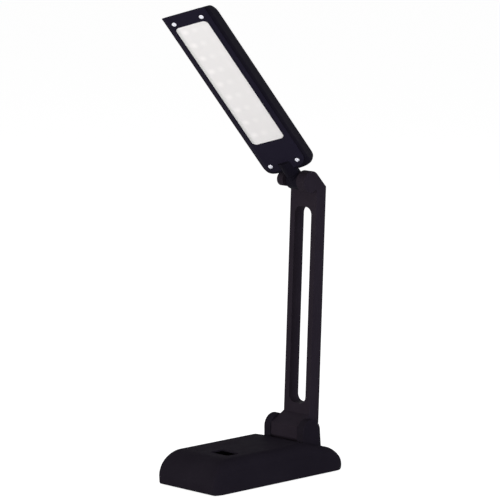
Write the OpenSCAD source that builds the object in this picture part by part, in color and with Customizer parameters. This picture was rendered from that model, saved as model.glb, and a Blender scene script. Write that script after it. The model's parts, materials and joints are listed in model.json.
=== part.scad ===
// Folding desk lamp: base, slotted arm, swivelling neck and a flat light head.
// Millimetres, +Z up. The front faces -Y, and the hinge axes run along X.

/* [Base] */
// Overall length of the base, front to back
base_length = 165.2; // [160:0.2:176]
// Overall width of the base
base_width = 78; // [74:0.2:86]
// Height of the flat top above the lower edge of the base shell
base_height = 30.4; // [29.6:0.2:33]
// Radius of the front edge seen from the side
nose_radius = 23; // [20:0.5:25]
// Radius of the soft long edges
side_radius = 10.5; // [9:0.5:11]
// How far the round of a corner reaches along the base
corner_reach = 11.5; // [9:0.5:14]
// How far the round of a corner reaches across the base
corner_width = 4; // [3:0.5:6]
// How far the lower edge is drawn in
bottom_tuck = 1.4; // [0.6:0.1:2]
// Radius of the back edge seen from the side
tail_radius = 18.5; // [17:0.5:20]
// Height of the centre of the back edge's radius
tail_rise = 4; // [3:0.1:5]
// Downward slope of the top behind the hinge, in degrees
tail_slope = 14.1; // [13:0.1:16]
// Wall thickness of the base shell
shell_wall = 2.2; // [1.8:0.1:2.6]
// Thickness of the bottom cover
cover_thick = 2.2; // [1.8:0.1:2.4]
// Height of the rubber feet below the shell
foot_height = 1; // [0.8:0.1:1.6]
// Radius of a rubber foot
foot_radius = 5.5; // [4.5:0.1:6.5]
// Thickness of the steel ballast plate
ballast_thick = 6; // [4:0.2:7]
// Distance of the steel ballast plate from the base's sides
ballast_side = 15; // [14:0.5:19]
// Distance of the ballast plate from the front end of the base
ballast_front = 22.6; // [20:0.2:30]
// Distance of the ballast plate from the back end of the base
ballast_rear = 38.6; // [37:0.2:46]
// Distance of the feet and screw pillars from the base's sides
foot_side = 10.5; // [10:0.1:11.5]
// Distance of the front feet from the front end of the base
foot_ahead = 13.9; // [12:0.1:16]
// Distance of the rear feet from the back end of the base
foot_behind = 21.6; // [19:0.1:24]

/* [Switch] */
// Width of the push button
button_width = 22.6; // [20:0.2:24]
// Depth of the push button, front to back
button_depth = 15; // [13:0.2:16.4]
// Distance of the button's centre to the right of the middle
button_x = 11; // [0:0.5:12]
// Distance of the button's centre from the front end of the base
button_ahead = 38.6; // [36:0.2:48]
// How far the button's top lies below the base's top
button_recess = 1.1; // [0.6:0.1:1.5]
// Travel of the button
button_travel = 1.2; // [0.6:0.1:1.5]
// Gap round the button
button_gap = 0.3; // [0.3:0.05:0.5]

/* [Lower hinge] */
// Distance of the lower hinge axis from the back end of the base
hinge_inset = 28.5; // [27:0.1:31]
// Height of the lower hinge axis above the base's flat top
hinge_rise = 6.8; // [6.4:0.1:8]
// Radius of the hinge cheeks on the base
cheek_radius = 11.5; // [11.2:0.1:12]
// How far the middle of a cheek lies ahead of the lower hinge axis
cheek_lead = 0.9; // [0:0.1:1.2]
// Distance of the arm's foot block in front of the lower hinge axis
foot_reach = 11.5; // [11:0.1:12]
// Thickness of a hinge cheek on the base
cheek_thick = 8.5; // [7:0.1:9.5]
// Side gap between the arm and a cheek
cheek_gap = 0.4; // [0.3:0.05:0.6]
// Radius of the lower hinge pin
lower_pin_radius = 3; // [2.5:0.1:3.5]

/* [Arm] */
// Width of the arm
arm_width = 33.8; // [32:0.2:36]
// Thickness of the arm
arm_thick = 12.1; // [11.5:0.1:13]
// Distance along the arm between its two hinge axes
arm_reach = 232.5; // [220:0.5:250]
// Backward lean of the arm in degrees
arm_lean = 2.4; // [0:0.1:6]
// Distance of the arm's front face behind the lower hinge axis
arm_setback = 4.5; // [4:0.1:5]
// Width of the long slot
slot_width = 21.4; // [18:0.2:22]
// Corner radius of the slot's ends
slot_corner = 7; // [5:0.5:9]
// Height of the slot's lower end above the lower hinge axis
slot_low = 23.6; // [21:0.1:30]
// Distance of the slot's upper end below the upper hinge axis
slot_high = 25; // [22:0.5:32]
// Wall thickness of the arm shells
arm_wall = 1.8; // [1.5:0.1:2]
// Radius of the lead inside the arm
lead_radius = 1; // [0.7:0.1:1.1]

/* [Upper hinge] */
// Distance of the upper hinge axis in front of the lower hinge axis
knuckle_forward = 2.6; // [2.2:0.1:3]
// Radius of the right cheek at the top of the arm
knuckle_radius = 10; // [9.8:0.1:10.6]
// Radius of the left cheek's rounded front
tongue_radius = 6.4; // [6:0.1:7]
// How far the left cheek's rounded front lies ahead of the upper axis
tongue_reach = 5.2; // [4.6:0.1:5.8]
// Radius of the neck's barrel
barrel_radius = 8.6; // [8:0.1:9]
// Half length of the neck's barrel
barrel_half = 7.4; // [7:0.1:7.6]
// Thickness of each friction washer
washer_thick = 0.7; // [0.5:0.1:1]
// Sideways position of the neck's centre
neck_x = -1.4; // [-1.6:0.1:0]
// Radius of the upper hinge pin
upper_pin_radius = 2.5; // [2:0.1:2.8]

/* [Neck swivel] */
// Outer radius of the swivel collar
collar_radius = 7; // [6.8:0.1:7.2]
// Radius of the neck's stub inside the collar
stub_radius = 4.5; // [4:0.1:4.6]
// Distance from the upper hinge axis to the collar's lower face
collar_start = 10.2; // [10:0.1:11]
// How far the collar reaches past the end of the head
collar_overlap = 8; // [7.5:0.1:9]

/* [Head] */
// Angle of the head from upright, tipped forward, in degrees
head_tilt = 40.9; // [30:0.1:50]
// Twist of the head about the neck in degrees
head_twist = 25.7; // [-30:0.1:30]
// Length of the head
head_length = 201.2; // [195:0.1:215]
// Width of the head
head_width = 42.4; // [41:0.1:46]
// Thickness of the head
head_thick = 18.9; // [18:0.1:20]
// How far the housing's sides stand out past the face
side_bulge = 2.4; // [1.6:0.1:3]
// Radius of the housing's long back edges
back_round = 6; // [4.5:0.1:7]
// Distance from the upper hinge axis to the near end of the head
head_start = 18.9; // [18.5:0.1:21]
// Distance of the face in front of the swivel axis
face_offset = 3.9; // [3.7:0.1:4.2]
// Corner radius of the face at the hinge end of the head
head_corner = 10; // [7:0.5:11]
// Corner radius of the housing at the hinge end of the head
shell_corner = 3; // [2.5:0.5:6]
// How far the housing reaches past the near end of the face
heel = 3; // [0:0.1:3.2]
// Radius of the heel's back edge seen from the side
heel_radius = 3; // [2:0.5:6]
// How far the slanted tip runs along the back
tip_run = 26; // [20:0.5:28]
// Length of the blunt edge at the tip
tip_edge = 0.9; // [0.6:0.1:1.5]
// How far the tip bulges behind the straight slant
tip_bulge = 2.4; // [0:0.1:4]
// Thickness of the bezel plate
bezel_thick = 1.8; // [1.5:0.1:1.8]
// Thickness of the back cover
lid_thick = 1.8; // [1.5:0.1:2]
// Width of the dark rim round the back cover
lid_rim = 4; // [3.4:0.1:4.8]
// Wall thickness of the head's housing
head_wall = 2.2; // [2.1:0.1:2.6]
// Width of the face beside the window
window_side = 4.5; // [4.3:0.1:6]
// Distance of the window from the tip
window_end = 14.6; // [14:0.1:17]
// Corner radius of the window
window_corner = 4.6; // [3:0.1:6]
// Distance from the near end of the head to the window
window_start = 35.6; // [34:0.2:37]
// Distance of a bezel screw from the side of the face
screw_side = 7.1; // [6.5:0.1:8]
// Distance of the near bezel screws from the near end of the head
screw_near = 7.1; // [7:0.1:8]
// Distance of the far bezel screws from the tip
screw_far = 9.9; // [9:0.1:10.5]
// Radius of a bezel screw's head
screw_head = 2.2; // [2:0.1:2.4]

/* [Light] */
// Light sources along the head
led_columns = 9; // [5:1:9]
// Light sources across the head
led_rows = 3; // [2:1:3]
// Distance of the first light source from the window's near end
led_start = 11.2; // [9:0.1:13]
// Distance of the last light source from the window's far end
led_end = 6.2; // [5:0.1:9]
// Distance of the outer light sources from the window's sides
led_side = 6.5; // [5:0.1:8]
// Side of a square light source
led_size = 3.5; // [2.8:0.1:4]

/* [Fits] */
// Radial clearance of a pin or stub that turns in a bore
running_fit = 0.05; // [0.03:0.01:0.09]
// Radial clearance of a part that is fixed in a hole
fixed_fit = 0.02; // [0.01:0.01:0.05]
// Gap between round faces that move past each other
moving_gap = 0.4; // [0.3:0.05:0.5]
// Gap round plates that are set into a recess
seat_gap = 0.15; // [0.1:0.05:0.2]

/* [Hidden] */
$fn = 48;
eps = 0.01;
half_l = base_length / 2;
half_w = base_width / 2;
fillet_steps = 5;
slice = 0.1;
end_crown = 0.02;
hinge_y = half_l - hinge_inset;
hinge_z = base_height + hinge_rise;
arm_half = arm_width / 2;
cheek_in = arm_half + cheek_gap;
cheek_out = cheek_in + cheek_thick;

cap_thick = 1.5;
blind_wall = 2;
arm_back = arm_setback + arm_thick;
arm_mid = arm_setback + arm_thick / 2;
lower_washer = lower_pin_radius + 4.5;
upper_washer = upper_pin_radius + 3.7;
foot_front = -foot_reach;
foot_drop = 6.4;
sweep_radius = norm([foot_reach, foot_drop]);
pocket_radius = sweep_radius + moving_gap;
slot_top = arm_reach - slot_high;
gap_left = neck_x - barrel_half - washer_thick - 0.1;
gap_right = neck_x + barrel_half + washer_thick + 0.1;
barrel_pocket = barrel_radius + moving_gap + 0.2;
chamfer_sum = arm_reach - knuckle_forward + 14;
tongue_z = arm_reach + 0.3;
tongue_low = tongue_z - tongue_radius;
tongue_high = tongue_z + tongue_radius;
front_fillet = 4.2;
channel_x = (slot_width / 2 + arm_half) / 2;
channel_w = arm_half - slot_width / 2 - 2 * arm_wall;
z_near = head_start;
z_heel = head_start - heel;
z_tip = head_start + head_length;
y_face = -face_offset;
y_seam = -face_offset + bezel_thick;
y_back = -face_offset + head_thick;
half_head = head_width / 2;
half_shell = half_head + side_bulge;
deck = lid_thick + 1.6;
window_z = z_near + window_start;
window_length = head_length - window_start - window_end;
window_width = head_width - 2 * window_side;
screw_x = half_head - screw_side;
rib_x = window_width / 3;
rib_thick = 1.5;
led_step = (window_length - led_start - led_end) / (led_columns - 1);
led_row_step = (window_width - 2 * led_side) / (led_rows - 1);
collar_block = 2 * collar_radius + 2;
window_mid = window_z + window_length / 2;
pane_front = y_face + 0.5;
flange_thick = 1;
flange_grow = 1.5;
board_front = 2;
board_thick = 1.2;
collar_end = head_start + collar_overlap;
clip_z = head_start + 2.7;
clip_thick = 0.8;
clip_radius = 5.5;
clip_seat = 3.4;
roof = base_height - shell_wall;
button_top = base_height - button_recess;
flange_h = 1.5;
board_z = 17;
pcb_thick = 1.6;
foot_x = half_w - foot_side;
foot_front_y = -half_l + foot_ahead;
foot_rear_y = half_l - foot_behind;
button_y = -half_l + button_ahead;
pillar_x = foot_x;
pillar_front = foot_front_y + foot_radius + 4.7;
pillar_rear = foot_rear_y - 28;
pillar_radius = 3.4;
post_x = button_width / 2 + 4.6;
post_radius = 2.6;
circuit_w = 2 * post_x + 6;
circuit_l = button_depth + 5;
floor_z = 0.3;
plate_z = floor_z + cover_thick;
stem_z = board_z + pcb_thick + 4.2;
socket_z = 10.6;
socket_radius = 4;
socket_board_z = 4.6;
socket_y = half_l - 14;
cover_l = base_length - 2 * (bottom_tuck + shell_wall + seat_gap);
cover_w = base_width - 2 * (0.5 + shell_wall + seat_gap);
cover_corner = corner_reach - shell_wall + 0.2;
arm_screw_low = slot_low - 10;
arm_screw_high = slot_top + 7;
arm_screw_side = arm_half - 8.4;

// ---- helpers ----

// Extrude a drawing of the side view (Y, Z) from x0 to x1.
module side_plate(x0, x1) {
    translate([x0, 0, 0])
        rotate([90, 0, 90])
            linear_extrude(x1 - x0)
                children();
}

// Extrude a drawing of the front view (X, Z) from y0 to y1.
module front_plate(y0, y1) {
    translate([0, y1, 0])
        rotate([90, 0, 0])
            linear_extrude(y1 - y0)
                children();
}

// Cylinder along X.
module bar_x(r, x0, x1) {
    translate([x0, 0, 0])
        rotate([0, 90, 0])
            cylinder(r = r, h = x1 - x0);
}

// Cylinder along Y.
module bar_y(r, y0, y1) {
    translate([0, y0, 0])
        rotate([-90, 0, 0])
            cylinder(r = r, h = y1 - y0);
}

// Rectangle centred on the origin with round corners.
module round_rect(w, l, r) {
    square([w - 2 * r, l], center = true);
    square([w, l - 2 * r], center = true);
    for (sx = [-1, 1])
        for (sy = [-1, 1])
            translate([sx * (w / 2 - r), sy * (l / 2 - r)])
                circle(r = r);
}

// ---- frames of the moving parts at rest ----

module in_base() {
    translate([0, 0, foot_height])
        children();
}

module in_arm() {
    translate([0, hinge_y, foot_height + hinge_z])
        rotate([-arm_lean, 0, 0])
            children();
}

module in_neck() {
    in_arm()
        translate([neck_x, -knuckle_forward, arm_reach])
            rotate([arm_lean + head_tilt, 0, 0])
                children();
}

module in_head() {
    in_neck()
        rotate([0, 0, head_twist])
            children();
}

// ---- base ----

// Side profile of the base: the top drawn in by dt, the two ends by de.
function nose_point(a, dt, de) =
    [-half_l + nose_radius - (nose_radius - de) * sin(a),
     base_height - nose_radius + (nose_radius - dt) * cos(a)];
function tail_point(a, dt, de) =
    [half_l - tail_radius + (tail_radius - de) * sin(a),
     tail_rise + (tail_radius - dt) * cos(a)];
function top_back(dt, de) =
    tail_point(tail_slope, dt, de)[0]
    - (base_height - dt - tail_point(tail_slope, dt, de)[1]) / tan(tail_slope);

function base_profile(dt, de, low) = concat(
    [[-half_l + bottom_tuck + de, low]],
    [[-half_l + 0.3 * bottom_tuck + de, low + bottom_tuck]],
    [for (i = [8:-1:0]) nose_point(i * 90 / 8, dt, de)],
    [[top_back(dt, de), base_height - dt]],
    [for (i = [0:7]) tail_point(tail_slope + i * (90 - tail_slope) / 7, dt, de)],
    [[half_l - 0.3 * bottom_tuck - de, low + bottom_tuck]],
    [[half_l - bottom_tuck - de, low]]);

// How far a slice that lies s outwards of the straight part is drawn in at the ends.
function end_draw(s, reach, width) =
    s <= 0 ? 0 : reach * (1 - sqrt(max(0, 1 - pow(s / width, 2))));

// Soft-edged block: profile slices that shrink towards the two long sides.
module base_block(grow, low) {
    reach = half_w - grow;
    r = side_radius - grow;
    cw = corner_width - 0.6 * grow;
    cr = corner_reach - grow;
    hull() {
        side_plate(r - reach, reach - r)
            polygon(base_profile(grow, grow, low));
        for (m = [0, 1])
            mirror([m, 0, 0])
                for (i = [1:fillet_steps]) {
                    x = reach - r + r * sin(i * 90 / fillet_steps);
                    dt = grow + r * (1 - cos(i * 90 / fillet_steps));
                    de = grow + end_crown * i + end_draw(x - reach + cw, cr, cw);
                    lift = i < fillet_steps ? 0 : bottom_tuck;
                    side_plate(x - slice, x)
                        polygon(base_profile(dt, de, low + lift));
                }
    }
}

module cheek_outline() {
    cheek_y = hinge_y - cheek_lead;
    translate([cheek_y, hinge_z + 0.4])
        circle(r = cheek_radius);
    polygon([[cheek_y - cheek_radius, base_height - 4],
             [cheek_y - cheek_radius, hinge_z + 0.4],
             [cheek_y + cheek_radius, hinge_z + 0.4],
             [cheek_y + cheek_radius + 1.4, base_height - 10]]);
}

module pillar(x, y) {
    translate([x, y, plate_z])
        cylinder(r = pillar_radius, h = base_height - plate_z);
}

module hanging_post(x) {
    translate([button_x + x, button_y, board_z + pcb_thick])
        cylinder(r = post_radius, h = base_height - board_z - pcb_thick);
}

module base_inside_ribs() {
    for (x = [-pillar_x, pillar_x]) {
        pillar(x, pillar_front);
        pillar(x, pillar_rear);
    }
    for (x = [-post_x, post_x])
        hanging_post(x);
    translate([0, hinge_y, hinge_z])
        bar_x(pocket_radius + shell_wall, -cheek_in - 2, cheek_in + 2);
}

module base_shell() {
    in_base()
        color([0.13, 0.12, 0.13])
            difference() {
                union() {
                    difference() {
                        base_block(0, 0);
                        base_block(shell_wall, -0.01);
                    }
                    intersection() {
                        base_block(0.02, 0);
                        base_inside_ribs();
                    }
                    side_plate(-cheek_out, -cheek_in)
                        cheek_outline();
                    side_plate(cheek_in, cheek_out)
                        cheek_outline();
                }
                translate([0, hinge_y, hinge_z]) {
                    bar_x(pocket_radius, -cheek_in, cheek_in);
                    bar_x(lower_pin_radius + fixed_fit, -cheek_out - 1, cheek_out - blind_wall);
                    bar_x(lower_pin_radius + 1.4, -cheek_out - 1, -cheek_out + cap_thick);
                }
                translate([button_x, button_y, roof - 1])
                    linear_extrude(shell_wall + 2)
                        round_rect(button_width + 2 * button_gap,
                                   button_depth + 2 * button_gap, 2 + button_gap);
                for (x = [-pillar_x, pillar_x])
                    for (y = [pillar_front, pillar_rear])
                        translate([x, y, plate_z - 1])
                            cylinder(r = 1.25, h = 10);
                for (x = [-post_x, post_x])
                    translate([button_x + x, button_y, board_z])
                        cylinder(r = 1, h = 6);
                translate([0, 0, socket_z])
                    bar_y(socket_radius + fixed_fit, half_l - 14, half_l + 2);
            }
}

module base_cover() {
    in_base()
        color([0.12, 0.12, 0.12])
            difference() {
                union() {
                    translate([0, 0, floor_z])
                        linear_extrude(cover_thick)
                            round_rect(cover_w, cover_l, cover_corner);
                    for (x = [-7.5, 7.5])
                        translate([x, socket_y, floor_z + cover_thick - 0.5])
                            cylinder(r = 2, h = socket_board_z - plate_z + 0.5);
                }
                for (x = [-pillar_x, pillar_x])
                    for (y = [pillar_front, pillar_rear])
                        translate([x, y, 0]) {
                            translate([0, 0, -1])
                                cylinder(r = 1.6, h = 10);
                            translate([0, 0, -1])
                                cylinder(r = 3.1, h = 1 + floor_z + 1.2);
                        }
                for (x = [-foot_x, foot_x])
                    for (y = [foot_front_y, foot_rear_y])
                        translate([x, y, -1])
                            cylinder(r = foot_radius + fixed_fit, h = 1 + floor_z + 0.6);
            }
}

module ballast_plate() {
    in_base()
        color([0.55, 0.56, 0.58])
            translate([0, (ballast_front - ballast_rear) / 2, plate_z])
                linear_extrude(ballast_thick)
                    round_rect(base_width - 2 * ballast_side,
                               base_length - ballast_front - ballast_rear, 4);
}

module rubber_feet() {
    in_base()
        color([0.08, 0.08, 0.08])
            for (x = [-foot_x, foot_x])
                for (y = [foot_front_y, foot_rear_y])
                    translate([x, y, -foot_height])
                        cylinder(r = foot_radius, h = foot_height + floor_z + 0.6);
}

module base_screws() {
    in_base()
        color([0.7, 0.7, 0.72])
            for (x = [-pillar_x, pillar_x])
                for (y = [pillar_front, pillar_rear])
                    translate([x, y, 0]) {
                        cylinder(r = 1.25 - fixed_fit, h = 9);
                        translate([0, 0, 0.1])
                            cylinder(r = 2.7, h = floor_z + 1.1);
                    }
}

// ---- switch and electronics in the base ----

module switch_button() {
    in_base()
        color([0.06, 0.06, 0.07]) {
            translate([button_x, button_y, roof - eps])
                linear_extrude(button_top - roof + eps)
                    round_rect(button_width, button_depth, 2);
            translate([button_x, button_y, roof - flange_h])
                linear_extrude(flange_h)
                    round_rect(button_width + 3, button_depth + 3, 2);
            translate([button_x, button_y, stem_z])
                cylinder(r = 3, h = roof - flange_h - stem_z + eps);
        }
}

module switch_plunger() {
    in_base()
        color([0.85, 0.85, 0.82])
            translate([button_x, button_y, stem_z - 2])
                cylinder(r = 1.7, h = 2);
}

module switch_housing() {
    in_base()
        color([0.2, 0.2, 0.22])
            difference() {
                translate([button_x - 4, button_y - 4, board_z + pcb_thick])
                    cube([8, 8, 2.6]);
                translate([button_x, button_y, board_z + pcb_thick + 0.4])
                    cylinder(r = 1.7 + running_fit, h = 5);
            }
}

module control_board() {
    in_base()
        color([0.1, 0.35, 0.2])
            difference() {
                translate([button_x - circuit_w / 2, button_y - circuit_l / 2, board_z])
                    cube([circuit_w, circuit_l, pcb_thick]);
                for (x = [-post_x, post_x])
                    translate([button_x + x, button_y, board_z - 1])
                        cylinder(r = 1.3, h = 4);
            }
}

module board_screws() {
    in_base()
        color([0.7, 0.7, 0.72])
            for (x = [-post_x, post_x])
                translate([button_x + x, button_y, 0]) {
                    translate([0, 0, board_z - 1.4])
                        cylinder(r = 2.2, h = 1.4);
                    translate([0, 0, board_z - 0.1])
                        cylinder(r = 1 - fixed_fit, h = 5.5);
                }
}

module socket_board() {
    in_base()
        color([0.1, 0.35, 0.2])
            translate([-10, socket_y - 6, socket_board_z])
                cube([20, 13, 1.6]);
}

module dc_socket() {
    in_base()
        color([0.15, 0.15, 0.16])
            difference() {
                union() {
                    translate([-4.6, socket_y - 4, socket_board_z + 1.6])
                        cube([9.2, 10, 8.8]);
                    translate([0, 0, socket_z])
                        bar_y(socket_radius, socket_y + 5, half_l - 0.6);
                }
                translate([0, 0, socket_z])
                    difference() {
                        bar_y(2.9, half_l - 10.5, half_l + 1);
                        bar_y(1, half_l - 11, half_l - 1.6);
                    }
            }
}

// ---- lower hinge ----

module lower_hinge_pin() {
    in_base()
        color([0.75, 0.75, 0.78])
            translate([0, hinge_y, hinge_z])
                bar_x(lower_pin_radius, -cheek_out + cap_thick, cheek_out - blind_wall);
}

module lower_hinge_washers() {
    in_base()
        color([0.7, 0.7, 0.72])
            translate([0, hinge_y, hinge_z])
                for (m = [0, 1])
                    mirror([m, 0, 0])
                        difference() {
                            bar_x(lower_washer, cheek_in - washer_thick - cheek_gap, cheek_in);
                            bar_x(lower_pin_radius + 0.2, 0, cheek_in + 1);
                        }
}

module lower_pin_cap() {
    in_base()
        color([0.12, 0.12, 0.13])
            translate([0, hinge_y, hinge_z])
                bar_x(lower_pin_radius + 1.4 - fixed_fit, -cheek_out, -cheek_out + cap_thick);
}

// ---- arm ----

module foot_outline() {
    polygon([[foot_front, -foot_drop], [foot_front, 4.8], [arm_setback, 14.6],
             [arm_setback, 24], [arm_back, 24], [arm_back, -2],
             [10.4, -7.4], [6, -cheek_radius], [-7, -cheek_radius]]);
}

module arm_blank() {
    side_plate(-arm_half, arm_half)
        foot_outline();
    side_plate(-arm_half, arm_half)
        polygon([[arm_setback, 20], [arm_setback, arm_reach + 2],
                 [chamfer_sum - arm_reach - 2, arm_reach + 2],
                 [arm_back, chamfer_sum - arm_back], [arm_back, 20]]);
    // left cheek: a short tongue with a round front
    side_plate(-arm_half, gap_left) {
        translate([-knuckle_forward - tongue_reach, tongue_z])
            circle(r = tongue_radius);
        polygon([[-knuckle_forward - tongue_reach, tongue_low],
                 [-knuckle_forward - tongue_reach, tongue_high],
                 [chamfer_sum - tongue_high, tongue_high],
                 [arm_back - 4, chamfer_sum - arm_back + 4],
                 [arm_back - 4, tongue_low]]);
        difference() {
            translate([arm_setback - front_fillet, tongue_low - front_fillet])
                square([front_fillet + 1, front_fillet + 1]);
            translate([arm_setback - front_fillet, tongue_low - front_fillet])
                circle(r = front_fillet);
        }
    }
    // right cheek: a full round
    side_plate(gap_right, arm_half) {
        translate([-knuckle_forward, arm_reach])
            circle(r = knuckle_radius);
        polygon([[arm_setback - 1, arm_reach - 8],
                 [-knuckle_forward, arm_reach + 6],
                 [knuckle_radius * 0.7071 - knuckle_forward, arm_reach + knuckle_radius * 0.7071],
                 [arm_back - 4, chamfer_sum - arm_back + 4],
                 [arm_back - 4, arm_reach - 8]]);
    }
}

module slot_cut() {
    front_plate(arm_setback - 20, arm_back + 5)
        translate([0, (slot_low + slot_top) / 2])
            round_rect(slot_width, slot_top - slot_low, slot_corner);
}

module wire_channels() {
    for (s = [-1, 1])
        translate([s * channel_x - channel_w / 2, arm_setback + arm_wall, slot_low - 12])
            cube([channel_w, arm_thick - 2 * arm_wall, slot_top - slot_low + 24]);
}

module at_arm_screws() {
    for (s = [-1, 1]) {
        translate([s * arm_screw_side, 0, arm_screw_low])
            children();
        translate([s * (arm_screw_side - 2), 0, arm_screw_high])
            children();
    }
}

module arm_solid() {
    difference() {
        arm_blank();
        slot_cut();
        wire_channels();
        translate([0, -knuckle_forward, arm_reach])
            bar_x(barrel_pocket, gap_left, gap_right);
        side_plate(gap_left, gap_right)
            polygon([[-20, arm_reach - 1], [-20, arm_reach + 20],
                     [barrel_pocket - knuckle_forward - 0.6, arm_reach + 20],
                     [barrel_pocket - knuckle_forward - 0.6, arm_reach - 1]]);
        translate([0, 0, 0]) {
            bar_x(lower_pin_radius + running_fit, -arm_half - 1, arm_half + 1);
            for (m = [0, 1])
                mirror([m, 0, 0])
                    bar_x(lower_washer + moving_gap, arm_half - washer_thick, arm_half + 1);
        }
        translate([0, -knuckle_forward, arm_reach]) {
            bar_x(upper_pin_radius + fixed_fit, -arm_half - 1, arm_half - blind_wall);
            bar_x(upper_pin_radius + 1.2, -arm_half - 1, -arm_half + cap_thick);
        }
        at_arm_screws() {
            bar_y(1.2, arm_mid - 4, arm_back + 1);
            bar_y(2.4, arm_back - 2.2, arm_back + 1);
        }
    }
}

module arm_front_shell() {
    in_arm()
        color([0.13, 0.12, 0.13])
            intersection() {
                arm_solid();
                translate([-30, arm_mid - 60, -40])
                    cube([60, 60, arm_reach + 80]);
            }
}

module arm_rear_shell() {
    in_arm()
        color([0.12, 0.12, 0.13])
            intersection() {
                arm_solid();
                translate([-30, arm_mid, -40])
                    cube([60, 60, arm_reach + 80]);
            }
}

module arm_screws() {
    in_arm()
        color([0.7, 0.7, 0.72])
            at_arm_screws() {
                bar_y(1.2 - fixed_fit, arm_mid - 3.6, arm_back - 1);
                bar_y(2.2, arm_back - 2.2, arm_back - 0.8);
            }
}

module arm_lead() {
    in_arm()
        color([0.6, 0.08, 0.08])
            translate([-channel_x, arm_mid, slot_low - 11])
                cylinder(r = lead_radius, h = slot_top - slot_low + 22);
}

// ---- upper hinge and neck ----

module upper_hinge_pin() {
    in_arm()
        color([0.75, 0.75, 0.78])
            translate([0, -knuckle_forward, arm_reach])
                bar_x(upper_pin_radius, -arm_half + cap_thick, arm_half - blind_wall);
}

module upper_hinge_washers() {
    in_arm()
        color([0.7, 0.7, 0.72])
            translate([neck_x, -knuckle_forward, arm_reach])
                for (m = [0, 1])
                    mirror([m, 0, 0])
                        difference() {
                            bar_x(upper_washer, barrel_half + 0.1, barrel_half + 0.1 + washer_thick);
                            bar_x(upper_pin_radius + 0.2, 0, barrel_half + 5);
                        }
}

module upper_pin_cap() {
    in_arm()
        color([0.12, 0.12, 0.13])
            translate([0, -knuckle_forward, arm_reach])
                bar_x(upper_pin_radius + 1.2 - fixed_fit, -arm_half, -arm_half + cap_thick);
}

module neck() {
    in_neck()
        color([0.13, 0.12, 0.14])
            difference() {
                union() {
                    bar_x(barrel_radius, -barrel_half, barrel_half);
                    cylinder(r = collar_radius, h = collar_start - 0.2);
                    cylinder(r = stub_radius, h = collar_end - 2);
                }
                bar_x(upper_pin_radius + running_fit, -20, 20);
                translate([0, 0, clip_z])
                    difference() {
                        cylinder(r = stub_radius + 1, h = clip_thick);
                        cylinder(r = clip_seat, h = clip_thick);
                    }
            }
}

module swivel_clip() {
    in_neck()
        color([0.75, 0.75, 0.78])
            translate([0, 0, clip_z])
                difference() {
                    cylinder(r = clip_radius, h = clip_thick);
                    translate([0, 0, -1])
                        cylinder(r = clip_seat, h = clip_thick + 2);
                    translate([-2.4, -clip_radius - 1, -1])
                        cube([4.8, clip_radius + 1, clip_thick + 2]);
                }
}

// ---- head ----

// Plan of the head (X along the width, Y of the drawing along the length).
module head_plan(w, near, corner) {
    translate([-w, near + corner])
        square([2 * w, z_tip - near - corner]);
    translate([-w + corner, near])
        square([2 * w - 2 * corner, corner + 1]);
    for (s = [-1, 1])
        translate([s * (w - corner), near + corner])
            circle(r = corner);
}

// Cross-section of the housing (X along the width, Y towards the back).
module head_section() {
    translate([-half_head, y_seam])
        square([2 * half_head, head_thick - bezel_thick - back_round]);
    translate([-half_shell + back_round, y_seam])
        square([2 * (half_shell - back_round), head_thick - bezel_thick]);
    translate([-half_shell, y_seam + side_bulge])
        square([2 * half_shell, head_thick - bezel_thick - side_bulge - back_round]);
    for (s = [-1, 1]) {
        translate([s * half_head, y_seam + side_bulge])
            circle(r = side_bulge);
        translate([s * (half_shell - back_round), y_back - back_round])
            circle(r = back_round);
    }
}

// Point on the tip's curve, from the blunt edge (t = 0) to the back (t = 1).
function tip_point(t, draw) =
    [y_face + tip_edge + (head_thick - tip_edge) * t + 2 * tip_bulge * t * (1 - t),
     z_tip - draw - tip_run * t + 2 * tip_bulge * t * (1 - t)];

// Side view of the head, drawn in by d at the back and the ends.
module head_side(d) {
    r = max(0.5, heel_radius - d);
    draw = 1.6 * d;
    difference() {
        translate([y_face, z_heel])
            square([head_thick - d, z_tip - z_heel]);
        polygon(concat(
            [[y_back + 1, z_tip - draw - tip_run], [y_back + 1, z_tip + 9], [y_face - 6, z_tip + 9],
             [y_face - 6, z_tip - draw + 6], [y_face + tip_edge, z_tip - draw]],
            [for (i = [1:8]) tip_point(i / 8, draw)]));
        difference() {
            translate([y_back - d - r, z_heel - 1])
                square([r + d + 1, r + 1]);
            translate([y_back - d - r, z_heel + r])
                circle(r = r);
        }
    }
}

// The housing's outer form from depth y0 to y1: inset at the sides and the near end,
// and drawn in by depth at the back and the tip.
module head_form(inset, depth, y0, y1) {
    corner = max(1, shell_corner - inset);
    intersection() {
        side_plate(-half_shell, half_shell)
            head_side(depth);
        front_plate(y0, y1)
            head_plan(half_shell - inset, z_heel + inset, corner);
    }
}

module housing_form() {
    intersection() {
        head_form(0, 0, y_seam, y_back);
        linear_extrude(z_tip + 1)
            head_section();
    }
}

module face_form() {
    intersection() {
        side_plate(-half_head, half_head)
            head_side(0);
        front_plate(y_face, y_seam)
            head_plan(half_head, z_near, head_corner);
    }
}

module at_bezel_screws() {
    for (s = [-1, 1])
        for (z = [z_near + screw_near, z_tip - screw_far])
            translate([s * screw_x, 0, z])
                children();
}

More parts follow.
